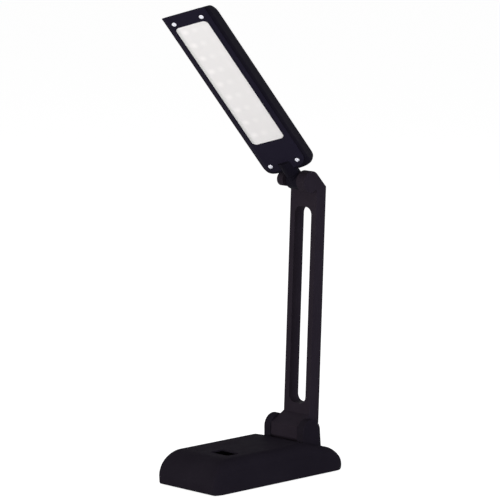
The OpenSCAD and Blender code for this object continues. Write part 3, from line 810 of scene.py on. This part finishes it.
@dataclass
class BaseUnit:
    """The weighted base: shell with hinge cheeks, button, feet and screws, in millimetres."""

    rest: Rest
    length: float = 165.2
    width: float = 78.0
    height: float = 30.4
    nose: float = 23.0
    side: float = 10.5
    corner_reach: float = 11.5
    corner_width: float = 4.0
    tuck: float = 1.4
    tail: float = 18.5
    tail_rise: float = 4.0
    tail_slope: float = 14.1
    wall: float = 2.2
    cheek_in: float = 17.3
    cheek_out: float = 25.8
    cheek_radius: float = 11.5
    cheek_y: float = 53.2
    cheek_lift: float = 0.4
    cheek_edge: float = 0.9
    pocket: float = 13.56
    pin_bore: float = 3.02
    cap_bore: float = 4.4
    cap_depth: float = 1.5
    socket_bore: float = 4.02
    socket_z: float = 10.6
    button: tuple[float, float, float] = (22.6, 15.0, 2.0)
    button_at: Point = (11.0, -44.0)
    button_gap: float = 0.3
    button_sink: float = 1.1
    button_edge: float = 0.5
    dish: tuple[Point, Point] = ((1.2, 0.0), (0.9, -0.18))
    flange: tuple[float, float, float] = (3.0, 1.5, 2.0)
    stem_radius: float = 3.0
    stem_foot: float = 22.8
    foot_radius: float = 5.5
    foot_lip: float = 0.4
    stand_x: float = 28.5
    feet_y: Point = (-68.7, 61.0)
    screws_y: Point = (-58.5, 33.0)
    screw_sink: float = 0.1
    screw: Screw = Screw(2.7, 0.5, 0.8, 1.2, 7.4)
    nose_steps: int = 24
    tail_steps: int = 16
    side_steps: int = 10

    def profile(self, down: float, ends: float, low: float) -> list[Point]:
        """Works out the block's side profile.

        Args:
            down: How far its top is drawn in.
            ends: How far its two ends are drawn in.
            low: Height of its lower edge.

        Returns:
            Points (depth, height) from the lower front edge to the lower back edge.
        """
        half = self.length / 2
        slope = math.radians(self.tail_slope)
        nose = [(-half + self.nose - (self.nose - ends) * math.sin(a),
                 self.height - self.nose + (self.nose - down) * math.cos(a))
                for a in (math.pi / 2 * (1 - i / self.nose_steps) for i in range(self.nose_steps + 1))]
        tail = [(half - self.tail + (self.tail - ends) * math.sin(a),
                 self.tail_rise + (self.tail - down) * math.cos(a))
                for a in (slope + (math.pi / 2 - slope) * i / self.tail_steps for i in range(self.tail_steps + 1))]
        top = tail[0][0] - (self.height - down - tail[0][1]) / math.tan(slope)
        return ([(-half + self.tuck + ends, low), (-half + 0.3 * self.tuck + ends, low + self.tuck)]
                + nose + [(top, self.height - down)] + tail
                + [(half - 0.3 * self.tuck - ends, low + self.tuck), (half - self.tuck - ends, low)])

    def slices(self, grow: float, low: float) -> list[tuple[float, list[Point]]]:
        """Works out the profiles from the middle part out to the right side.

        Args:
            grow: How far the block is drawn in all round.
            low: Height of its lower edge.

        Returns:
            Pairs of a place along X and the profile there.
        """
        reach = self.width / 2 - grow
        radius = self.side - grow
        across = self.corner_width - 0.6 * grow
        along = self.corner_reach - grow
        out = []
        for i in range(self.side_steps + 1):
            a = math.pi / 2 * i / self.side_steps
            x = reach - radius + radius * math.sin(a)
            s = max(0.0, x - reach + across)
            ends = grow + along * (1 - math.sqrt(max(0.0, 1 - (s / across) ** 2)))
            lift = 0.0 if i < self.side_steps else self.tuck
            out.append((x, self.profile(grow + radius * (1 - math.cos(a)), ends, low + lift)))
        return out

    def body(self, grow: float, low: float) -> Solid:
        """Makes the soft-edged block as a loft through its profiles.

        Args:
            grow: How far the block is drawn in all round.
            low: Height of its lower edge.

        Returns:
            The block.
        """
        right = self.slices(grow, low)
        rows = [(-x, p) for x, p in reversed(right)] + right
        return loft("base_block", [[(x, y, z) for y, z in points] for x, points in rows])

    def cheek(self, low: float, high: float) -> Solid:
        """Makes one hinge cheek.

        Args:
            low: Where it starts along X.
            high: Where it ends.

        Returns:
            The cheek.
        """
        y, r = self.cheek_y, self.cheek_radius
        outline = (arc((y, self.rest.hinge_z + self.cheek_lift), r, 180.0, 0.0, 32)
                   + [(y + r + 1.4, self.height - 10), (y - r, self.height - 4)])
        return as_object("cheek", prism(outline, 0, low, high, self.cheek_edge))

    def shell(self) -> None:
        """Makes the hollow shell with its cheeks, pocket, button opening and holes."""
        axis = Vector((0, self.rest.hinge_y, self.rest.hinge_z))
        inner, outer = self.cheek_in * ACROSS, self.cheek_out * ACROSS
        beyond = outer + 1.2 * ACROSS
        obj = self.body(0.0, 0.0)
        obj.name = "base_shell_skin"
        carve(obj, self.body(self.wall, -0.01), Cut.TAKE)
        rib = as_object("rib", rod(self.pocket + self.wall, axis - inner - 2 * ACROSS, axis + inner + 2 * ACROSS, 96))
        carve(rib, self.body(0.02, 0.0), Cut.KEEP)
        carve(obj, rib, Cut.ADD)
        for low, high in ((-self.cheek_out, -self.cheek_in), (self.cheek_in, self.cheek_out)):
            carve(obj, self.cheek(low, high), Cut.ADD)
        bar(obj, Cut.TAKE, self.pocket, axis - inner, axis + inner, 96)
        bar(obj, Cut.TAKE, self.pin_bore, axis - beyond, axis + outer - 2 * ACROSS)
        bar(obj, Cut.TAKE, self.cap_bore, axis - beyond, axis - outer + self.cap_depth * ACROSS)
        w, l, r = self.button
        gap = self.button_gap
        hole = block((w + 2 * gap, l + 2 * gap, 8), (*self.button_at, self.height), 2, r + gap)
        carve(obj, as_object("button_hole", hole), Cut.TAKE)
        back = self.length / 2
        bar(obj, Cut.TAKE, self.socket_bore, (0, back - 14, self.socket_z), (0, back + 2, self.socket_z))
        complete(obj, self.rest.base(), BLACK_BASE, "base", ("base_shell",), 28.0)

    def push_button(self) -> None:
        """Makes the push button with its dished top, flange and stem."""
        w, l, r = self.button
        x, y = self.button_at
        top = self.height - self.button_sink
        roof = self.height - self.wall
        cap = block((w, l, top - roof + 0.02), (x, y, (top + roof - 0.02) / 2), 2, r)
        round_edges(cap, self.button_edge, 60.0, 3, lambda e: all(v.co.z > top - 1e-4 for v in e.verts))
        dish = max((f for f in cap.faces if f.normal.z > 0.99), key=lambda f: f.calc_area())
        for width, depth in self.dish:
            bmesh.ops.inset_region(cap, faces=[dish], thickness=width, depth=depth)
        obj = as_object("push_button", cap)
        more, thick, corner = self.flange
        flange = block((w + more, l + more, thick), (x, y, roof - thick / 2), 2, corner)
        carve(obj, as_object("flange", flange), Cut.ADD)
        bar(obj, Cut.ADD, self.stem_radius, (x, y, self.stem_foot), (x, y, roof - 1.0), 48)
        complete(obj, self.rest.base(), BUTTON_BLACK, "button", ("switch_button",))

    def feet(self) -> None:
        """Makes the four rubber feet, with a soft rim and a shallow hollow below."""
        r, lip, low = self.foot_radius, self.foot_lip, -self.rest.foot
        outline = ([(0.0, 0.9), (r, 0.9), (r, low + lip)] + arc((r - lip, low + lip), lip, 0.0, -90.0, 5)
                   + [(r - 1.6, low), (r - 2.0, low + 0.2), (0.0, low + 0.2)])
        foot = as_object("foot", turned(outline, 48))
        places = [Matrix.Translation((sx * self.stand_x, y, 0)) for sx in (-1, 1) for y in self.feet_y]
        complete(copies(foot, places, "rubber_feet_soft"), self.rest.base(), RUBBER, "base",
                 ("rubber_feet",))

    def screws(self) -> None:
        """Makes the four cover screws, heads down in their recesses."""
        down = Matrix.Rotation(math.pi, 4, "X")
        places = [Matrix.Translation((sx * self.stand_x, y, self.screw_sink)) @ down
                  for sx in (-1, 1) for y in self.screws_y]
        complete(copies(self.screw.build(), places, "cover_screws"), self.rest.base(), STEEL, "base",
                 ("base_screws",))

    def build(self) -> None:
        """Builds the base's pieces."""
        self.shell()
        self.push_button()
        self.feet()
        self.screws()


# --------------------------------------------------------------------------- arm and neck


def refined(node: Solid, name: str, radius: float, over: float = 40.0) -> Solid:
    """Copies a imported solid's mesh, merges it into clean faces and rounds its outer edges.

    Args:
        node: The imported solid, which stays as it is.
        name: Name of the copy.
        radius: Radius of the rounded edges, in millimetres.
        over: Smallest turn in degrees that counts as an edge.

    Returns:
        The copy, in metres in the row frame.
    """
    bm = bmesh.new()
    bm.from_mesh(node.data)
    bmesh.ops.remove_doubles(bm, verts=bm.verts, dist=3e-6)
    bmesh.ops.dissolve_limit(bm, angle_limit=math.radians(0.4), use_dissolve_boundaries=False,
                             verts=bm.verts, edges=bm.edges, delimit=set())
    round_edges(bm, radius * MM, over)
    return as_object(name, bm, False)


@dataclass
class ArmUnit:
    """The slotted arm: two shells, the screws that clamp them, and the caps of both pins, in millimetres."""

    rest: Rest
    frame: dict
    soft_edge: float = 0.45
    screw_places: tuple[Point, ...] = ((-8.5, 13.6), (8.5, 13.6), (-6.5, 214.5), (6.5, 214.5))
    screw_top: float = 15.8
    screw: Screw = Screw(2.2, 0.4, 0.9, 1.18, 6.9)
    cap_thick: float = 1.5
    cap_edge: float = 0.4
    upper_cap: Point = (3.68, -16.9)
    lower_cap: Point = (4.38, -25.8)

    def shells(self) -> None:
        """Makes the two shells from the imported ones, with soft edges."""
        for node in ("arm_front_shell", "arm_rear_shell"):
            piece = refined(self.frame["nodes"][node], node + "_soft", self.soft_edge)
            complete(piece, Matrix.Scale(1 / MM, 4), BLACK_ARM, "arm", (node,))

    def screws(self) -> None:
        """Makes the four screws that clamp the rear shell to the front one."""
        back = Matrix.Rotation(math.radians(-90), 4, "X")
        places = [Matrix.Translation((x, self.screw_top, z)) @ back for x, z in self.screw_places]
        complete(copies(self.screw.build(), places, "arm_clamp_screws"), self.rest.arm(), STEEL, "arm",
                 ("arm_screws",))

    def cap(self, node: str, frame: Matrix, axis: Point, size: Point, body: str) -> None:
        """Makes one round cap that hides the end of a hinge pin.

        Args:
            node: The solid that it stands for.
            frame: Frame in which the cap lies.
            axis: Depth and height of the hinge axis.
            size: Radius of the cap, and where its outer face lies along X.
            body: Body that it rides on.
        """
        r, face = size
        thick, edge = self.cap_thick, self.cap_edge
        outline = ([(0.0, 0.0), (r, 0.0), (r, thick - edge)] + arc((r - edge, thick - edge), edge, 0.0, 90.0, 5)
                   + [(r - 1.3, thick), (r - 1.6, thick - 0.2), (0.0, thick - 0.25)])
        bm = turned(outline, 48)
        bmesh.ops.transform(bm, matrix=Matrix.Translation((face + thick, *axis))
                            @ Matrix.Rotation(math.radians(-90), 4, "Y"), verts=bm.verts)
        complete(as_object(node + "_soft", bm), frame, PLAIN_PLASTIC, body, (node,))

    def build(self) -> None:
        """Builds the arm's pieces."""
        rest = self.rest
        self.shells()
        self.screws()
        self.cap("upper_pin_cap", rest.arm(), (-rest.forward, rest.reach), self.upper_cap, "arm")
        self.cap("lower_pin_cap", rest.base(), (rest.hinge_y, rest.hinge_z), self.lower_cap, "base")


@dataclass
class NeckUnit:
    """The neck: a barrel on the tilt pin, a collar, and the stub that the head turns on, in millimetres."""

    rest: Rest
    barrel: float = 8.6
    barrel_half: float = 7.4
    barrel_edge: float = 0.6
    collar: float = 7.0
    collar_top: float = 10.0
    collar_edge: float = 0.5
    stub: float = 4.5
    stub_top: float = 24.9
    groove: tuple[float, float, float] = (21.6, 0.8, 3.4)
    pin_bore: float = 2.55

    def build(self) -> None:
        """Builds the neck as one moulding."""
        half, r, e = self.barrel_half, self.barrel, self.barrel_edge
        outline = ([(0.0, -half), (r - e, -half)] + arc((r - e, -half + e), e, -90.0, 0.0, 5)
                   + arc((r - e, half - e), e, 0.0, 90.0, 5) + [(0.0, half)])
        bm = turned(outline, 72)
        bmesh.ops.rotate(bm, cent=(0, 0, 0), matrix=Matrix.Rotation(math.pi / 2, 3, "Y"), verts=bm.verts)
        obj = as_object("neck_moulding", bm)
        z, thick, seat = self.groove
        stub, top, e = self.stub, self.stub_top, self.collar_edge
        stem = ([(0.0, 0.0), (self.collar, 0.0)] + arc((self.collar - e, self.collar_top - e), e, 0.0, 90.0, 5)
                + [(stub, self.collar_top), (stub, z), (seat, z), (seat, z + thick), (stub, z + thick),
                   (stub, top - e), (stub - e, top), (0.0, top)])
        carve(obj, as_object("stem", turned(stem, 64)), Cut.ADD)
        bar(obj, Cut.TAKE, self.pin_bore, -20 * ACROSS, 20 * ACROSS)
        complete(obj, self.rest.neck(), BLACK_HEAD, "neck", ("neck",))


# --------------------------------------------------------------------------- head


@dataclass
class HeadUnit:
    """The light head: housing, grey back cover, bezel, pane and bright screws, in millimetres."""

    rest: Rest
    half_face: float = 21.2
    half_shell: float = 23.6
    face: float = -3.9
    seam: float = -2.1
    back: float = 15.0
    near: float = 18.9
    heel: float = 15.0
    tip: float = 219.9
    tip_run: float = 20.6
    tip_edge: float = 0.9
    tip_flat: float = 11.0
    tip_slope: float = 0.71
    tip_pull: Point = (0.4, 4.9)
    bulge: float = 2.4
    back_round: float = 6.0
    heel_round: float = 4.6
    heel_steps: tuple[float, ...] = (0.0, 0.08, 0.3, 0.7, 1.2, 1.8, 2.6, 3.4, 4.4, 5.6, 7.2, 9.2, 11.4)
    body_steps: tuple[float, ...] = (60.0, 100.0, 140.0, 180.0)
    plan_front: float = 11.0
    plan_back: float = 2.0
    corner_depth: float = 5.0
    face_corner: float = 10.0
    wall: float = 3.4
    hollow: tuple[Triple, Triple] = ((38.0, 22.0, 186.0), (0, 0.6, 122.0))
    lid_rim: float = 4.0
    lid_near: float = 0.55
    lid_gap: float = 0.15
    lid_thick: float = 1.8
    lid_corner: float = 1.0
    margin: Point = (3.7, 1.25)
    window: tuple[float, float, float, float] = (33.4, 151.0, 4.6, 130.0)
    pane_front: float = -3.4
    pane_gap: float = 0.15
    pane_edge: float = 0.35
    pane_flange: float = 3.0
    screws_at: tuple[Point, ...] = ((-14.1, 26.0), (14.1, 26.0), (-14.1, 210.2), (14.1, 210.2))
    screw: Screw = Screw(2.2, 0.35, 0.55, 1.08, 4.7)
    pillar: float = 3.0
    pillar_ends: Point = (12.0, 4.0)
    pillar_bore: float = 1.1
    collar: float = 7.0
    collar_ends: Point = (10.2, 26.9)
    collar_edge: float = 0.5
    stub_bore: float = 4.55
    stub_room: Point = (9.2, 25.4)
    clip_bore: float = 5.9
    clip_room: Point = (21.4, 22.6)

    def nose(self, draw: float = 0.0) -> list[Point]:
        """Works out the slanted tip's side outline.

        Args:
            draw: How far it is drawn in.

        Returns:
            Points (depth, length) from the back down to the face's edge.
        """
        edge = (self.face + self.tip_edge, self.tip)
        knee = (edge[0] + self.tip_flat, self.tip - self.tip_slope * self.tip_flat)
        end = (self.back, self.tip - self.tip_run)
        pull = (self.back - self.tip_pull[0], knee[1] - self.tip_pull[1])
        out = []
        for i in range(21):
            t = i / 20
            out.append(tuple((1 - t) ** 2 * a + 2 * t * (1 - t) * b + t * t * c for a, b, c in zip(end, pull, knee)))
        out += [tuple(a + (b - a) * i / 12 for a, b in zip(knee, edge)) for i in range(1, 13)]
        return [(y - draw * min(1.0, (y - edge[0]) / 6.0), z - 0.5 * draw) for y, z in out]

    def stations(self) -> list[Point]:
        """Works out where the housing's slices lie.

        Returns:
            Pairs of a place along the head and the depth of the back there.
        """
        r = self.heel_round
        out = []
        for z in self.heel_steps:
            rise = math.sqrt(max(0.0, r * r - (r - min(z, r)) ** 2))
            out.append((self.heel + z, self.back - r + rise))
        out += [(z, self.back) for z in self.body_steps]
        out += [(z, y) for y, z in self.nose() if y > self.seam + 0.1]
        return out

    @staticmethod
    def rounded(z: float, radius: float) -> float:
        """Returns how far a corner of a radius draws in, z past its start."""
        return radius - math.sqrt(radius * radius - (radius - z) ** 2) if z < radius else 0.0

    def section(self, z: float, back: float) -> list[Point]:
        """Works out the housing's cross-section at a place along the head.

        Args:
            z: The place.
            back: Depth of the back there.

        Returns:
            Points (across, depth) all round.
        """
        thick = max(0.05, back - self.seam)
        past = z - self.heel
        front = self.half_face - self.rounded(past, self.plan_front)
        side = self.half_shell - self.rounded(past, self.plan_back)
        deep = min(self.bulge + self.corner_depth * max(0.0, 1 - past / self.plan_front) ** 2, 0.45 * thick)
        if deep < self.bulge:
            side = front + math.sqrt(deep * (2 * self.bulge - deep))
        turn = min(self.back_round, 0.4 * thick)
        lower = [(front + (side - front) * math.cos(a), self.seam + deep + deep * math.sin(a))
                 for a in (math.radians(step) for step in range(-90, 1, 15))]
        right = lower + arc((side - turn, back - turn), turn, 0.0, 90.0, 12)
        return right + [(-x, y) for x, y in reversed(right)]

    def form(self) -> Solid:
        """Makes the housing's outer form as a loft along the head."""
        return loft("head_form", [[(x, y, z) for x, y in self.section(z, back)] for z, back in self.stations()])

    def core(self, draw: float, half: float) -> Solid:
        """Makes the side outline of the head as a wide plate.

        Args:
            draw: How far it is drawn in at the back and the tip.
            half: Half of its width.

        Returns:
            The plate.
        """
        r = max(0.5, self.heel_round - draw)
        back = self.back - draw
        points = [(self.face - 1.0, self.heel - 1.0), (back - r, self.heel - 1.0), (back - r, self.heel)]
        points += arc((back - r, self.heel + r), r, -90.0, 0.0, 10)[1:]
        points += self.nose(draw)
        end = points[-1][1] + 0.8
        points += [(self.face, end), (self.face - 1.0, end)]
        return as_object("core", prism(points, 0, -half, half))

    def plan(self, half: float, near: float, corner: float, low: float, high: float) -> Solid:
        """Makes a plate with the head's plan, whose two near corners are round.

        Args:
            half: Half of its width.
            near: Where its near end lies.
            corner: Radius of its near corners.
            low: Depth of its front.
            high: Depth of its back.

        Returns:
            The plate.
        """
        outline = (arc((half - corner, near + corner), corner, -90.0, 0.0, 14)
                   + [(half, self.tip + 2), (-half, self.tip + 2)]
                   + arc((-half + corner, near + corner), corner, 180.0, 270.0, 14))
        return as_object("plan", prism(outline, 1, low, high))

    def swivel_collar(self, obj: Solid) -> None:
        """Adds the collar that turns on the neck's stub, with its bore and the snap ring's room.

        Args:
            obj: The housing.
        """
        (low, high), r, e = self.collar_ends, self.collar, self.collar_edge
        ring = [(0.0, low), (r - e, low)] + arc((r - e, low + e), e, -90.0, 0.0, 4) + [(r, high), (0.0, high)]
        carve(obj, as_object("collar", turned(ring, 72)), Cut.ADD)
        for radius, (start, end) in ((self.stub_bore, self.stub_room), (self.clip_bore, self.clip_room)):
            bar(obj, Cut.TAKE, radius, start * UP, end * UP)

    def housing(self) -> None:
        """Makes the housing with its cavity, collar, bore and screw pillars."""
        obj = self.form()
        obj.name = "head_housing_skin"
        inside = as_object("hollow", block(*self.hollow, 1, 3.0))
        carve(inside, self.core(self.wall, 22.0), Cut.KEEP)
        carve(obj, inside, Cut.TAKE)
        gap = self.plan(self.half_shell - self.lid_rim + self.lid_gap, self.heel + self.lid_rim + self.lid_near
                        - self.lid_gap, self.lid_corner + 0.2, self.seam + 1.0, self.back + 1)
        carve(gap, self.core(self.lid_thick, 30.0), Cut.TAKE)
        carve(obj, gap, Cut.TAKE)
        self.swivel_collar(obj)
        for x, z in self.screws_at:
            deep = self.pillar_ends[z > 100.0]
            bar(obj, Cut.ADD, self.pillar, (x, self.seam + 0.01, z), (x, deep, z), 40)
            bar(obj, Cut.TAKE, self.pillar_bore, (x, self.seam - 1, z), (x, self.seam + 4.2, z), 24)
        complete(obj, self.rest.head(), BLACK_HEAD, "head", ("head_housing",))

    def cover(self) -> None:
        """Makes the light grey back cover, set into the housing."""
        obj = self.plan(self.half_shell - self.lid_rim, self.heel + self.lid_rim + self.lid_near,
                        self.lid_corner, self.seam + 1.2, self.back + 1)
        carve(obj, self.form(), Cut.KEEP)
        carve(obj, self.core(self.lid_thick, 30.0), Cut.TAKE)
        obj.name = "head_cover_plate"
        complete(obj, self.rest.head(), COVER_GREY, "head", ("head_back_cover",))

    def slope_margins(self, obj: Solid) -> None:
        """Cuts the face plate's long margins so that they slope back.

        Args:
            obj: The face plate.
        """
        width, drop = self.margin
        bm = bmesh.new()
        bm.from_mesh(obj.data)
        for side in (-1, 1):
            cut = bmesh.ops.bisect_plane(bm, geom=bm.verts[:] + bm.edges[:] + bm.faces[:], dist=1e-5,
                                         plane_co=(side * (self.half_face - width), self.face, 0),
                                         plane_no=Vector((side * drop, -width, 0)).normalized(), clear_outer=True)
            rim = [g for g in cut["geom_cut"] if isinstance(g, bmesh.types.BMEdge)]
            bmesh.ops.contextual_create(bm, geom=rim)
        bmesh.ops.recalc_face_normals(bm, faces=bm.faces)
        bm.to_mesh(obj.data)
        bm.free()

    def bezel(self) -> None:
        """Makes the face plate: long margins that slope back, a window, and screw seats."""
        obj = self.plan(self.half_face, self.near, self.face_corner, self.face, self.seam)
        carve(obj, self.core(0.0, 22.0), Cut.KEEP)
        self.slope_margins(obj)
        w, l, r, mid = self.window
        hole = block((w, 4.0, l), (0, (self.face + self.seam) / 2, mid), 1, r, 10)
        carve(obj, as_object("window", hole), Cut.TAKE)
        bar(obj, Cut.TAKE, self.collar + 0.1, (self.near - 1) * UP, (self.near + 8.1) * UP, 72)
        for x, z in self.screws_at:
            bar(obj, Cut.TAKE, self.screw.radius + 0.2, (x, self.face - 1, z), (x, self.face + 0.9, z), 40)
            bar(obj, Cut.TAKE, self.pillar_bore + 0.2, (x, self.face, z), (x, self.seam + 1, z), 24)
        obj.name = "face_bezel"
        complete(obj, self.rest.head(), BEZEL_BLACK, "head", ("bezel",))

    def pane(self) -> None:
        """Makes the translucent pane with its flange behind the bezel."""
        w, l, r, mid = self.window
        gap, low, high = self.pane_gap, self.pane_front, self.seam + 0.01
        front = block((w - 2 * gap, high - low, l - 2 * gap), (0, (low + high) / 2, mid), 1, r - gap, 10)
        round_edges(front, self.pane_edge, 60.0, 3, lambda e: all(abs(v.co.y - low) < 1e-4 for v in e.verts))
        obj = as_object("diffuser_pane", front)
        flange = block((w + self.pane_flange, 1.0, l + self.pane_flange), (0, self.seam + 0.5, mid), 1, r, 10)
        carve(obj, as_object("flange", flange), Cut.ADD)
        complete(obj, self.rest.head(), PANE_WHITE, "head", ("diffuser",))

    def screws(self) -> None:
        """Makes the four bright screws of the bezel, each with its own turn of the recess."""
        out = Matrix.Rotation(math.radians(90), 4, "X")
        places = [Matrix.Translation((x, self.face - 0.1, z)) @ out @ Matrix.Rotation(0.5 + 0.7 * i, 4, "Z")
                  for i, (x, z) in enumerate(self.screws_at)]
        complete(copies(self.screw.build(), places, "bezel_bright_screws"), self.rest.head(), SCREW_BRIGHT,
                 "head", ("bezel_screws",))

    def build(self) -> None:
        """Builds the head's pieces."""
        self.housing()
        self.cover()
        self.bezel()
        self.pane()
        self.screws()


# --------------------------------------------------------------------------- studio


@dataclass(frozen=True)
class Lamp:
    """One soft square lamp.

    Args:
        name: Its name.
        place: Where it stands, in metres.
        power: Its power in watts.
        colour: Its colour.
        size: Side of the square, in metres.
    """

    name: str
    place: tuple[float, float, float]
    power: float
    colour: Colour
    size: float = 0.9


@dataclass
class Studio:
    """Camera, lamps, floor and backdrop."""

    lens_px: float = 3661.9
    frame_px: float = 500.0
    sensor: float = 36.0
    clip: Point = (0.1, 30.0)
    place: tuple[float, float, float] = (2.3670, -2.3035, 0.7404)
    pitch: float = 80.914
    azimuth: float = 45.796
    aim: tuple[float, float, float] = (0.0, 0.0, 0.22)
    air: Colour = (0.2, 0.2, 0.2)
    floor_half: float = 6.0
    floor_z: float = -0.0002
    floor_white: float = 0.62
    floor_glow: float = 0.86
    lamps: tuple[Lamp, ...] = (
        Lamp("lamp_left_low", (-0.9, -1.5, 0.35), 12.4, (1.0, 0.98, 0.88)),
        Lamp("lamp_right_low", (0.9, -1.6, 0.2), 25.0, (0.98, 0.99, 1.0)),
        Lamp("lamp_back_right", (1.5, 0.5, 0.5), 11.5, (0.85, 0.89, 1.0)),
        Lamp("lamp_left", (-1.6, 0.2, 0.6), 4.4, (0.95, 0.95, 1.0)),
        Lamp("lamp_back", (0.2, 1.7, 0.7), 3.8, (1.0, 0.95, 0.92)),
    )

    def camera(self) -> None:
        """Puts the camera at the viewing angle."""
        data = bpy.data.cameras.new("camera")
        data.sensor_width = self.sensor
        data.sensor_fit = "HORIZONTAL"
        data.lens = self.lens_px / self.frame_px * self.sensor
        data.clip_start, data.clip_end = self.clip
        cam = placed("camera", data)
        cam.location = self.place
        cam.rotation_euler = (math.radians(self.pitch), 0.0, math.radians(self.azimuth))
        bpy.context.scene.camera = cam

    def light(self, lamp: Lamp) -> None:
        """Adds one lamp, facing the object.

        Args:
            lamp: The lamp.
        """
        data = bpy.data.lights.new(lamp.name, "AREA")
        data.size = lamp.size
        data.energy = lamp.power
        data.color = lamp.colour
        obj = placed(lamp.name, data)
        obj.location = lamp.place
        obj.rotation_euler = (Vector(self.aim) - Vector(lamp.place)).to_track_quat("-Z", "Y").to_euler()

    @staticmethod
    def seen(tree: Tree) -> Socket:
        """Tells the rays that show the backdrop from those that light the object.

        Args:
            tree: The node tree.

        Returns:
            A socket that is 1 for camera, glossy and transmission rays.
        """
        path = add_node(tree, "LightPath").outputs
        total = worked(tree, "ADD", path["Is Camera Ray"], path["Is Glossy Ray"], True)
        return worked(tree, "ADD", total, path["Is Transmission Ray"], True)

    def floor_material(self) -> bpy.types.Material:
        """Makes the floor's finish: matt white that keeps the shadow, lifted towards the backdrop's white.

        Returns:
            The material.
        """
        mat = bpy.data.materials.new("studio_floor")
        tree = empty_tree(mat)
        matt = add_node(tree, "BsdfDiffuse", {"Color": (*[self.floor_white] * 3, 1.0)})
        glow = add_node(tree, "Emission", {
            "Strength": ranged(tree, self.seen(tree), (0.0, 1.0), (0.0, self.floor_glow))})
        both = add_node(tree, "AddShader", {0: matt.outputs["BSDF"], 1: glow.outputs["Emission"]})
        add_node(tree, "OutputMaterial", {"Surface": both.outputs["Shader"]})
        return mat

    def floor(self) -> None:
        """Adds the pale floor."""
        bm = bmesh.new()
        bmesh.ops.create_grid(bm, x_segments=1, y_segments=1, size=self.floor_half)
        obj = as_object("floor", bm, False)
        obj.location = (0.0, 0.0, self.floor_z)
        obj.data.materials.append(self.floor_material())

    def world(self) -> None:
        """Lights the object evenly from all round, and shows white behind it."""
        world = bpy.data.worlds.new("studio_air")
        bpy.context.scene.world = world
        tree = empty_tree(world)
        lit = add_node(tree, "Background", {"Color": (*self.air, 1.0)})
        shown = add_node(tree, "Background", {"Color": (1.0, 1.0, 1.0, 1.0)})
        both = add_node(tree, "MixShader", {"Fac": self.seen(tree), 1: lit.outputs["Background"],
                                            2: shown.outputs["Background"]})
        add_node(tree, "OutputWorld", {"Surface": both.outputs["Shader"]})

    def build(self) -> None:
        """Builds the whole studio."""
        bpy.context.scene.view_settings.view_transform = "Standard"
        self.camera()
        self.floor()
        self.world()
        for lamp in self.lamps:
            self.light(lamp)


# --------------------------------------------------------------------------- the whole lamp


def dress(frame: dict) -> None:
    """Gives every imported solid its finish.
    """
    for name, obj in frame["nodes"].items():
        mat = NODE_FINISH[name].material()
        obj.data.materials.clear()
        obj.data.materials.append(mat)
        LOG.info("finish %s -> %s", name, mat.name)


def main() -> None:
    """Builds the lamp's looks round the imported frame."""
    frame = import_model()
    Studio().build()
    dress(frame)
    rest = Rest()
    BaseUnit(rest).build()
    ArmUnit(rest, frame).build()
    NeckUnit(rest).build()
    HeadUnit(rest).build()


if __name__ == "__main__":
    main()
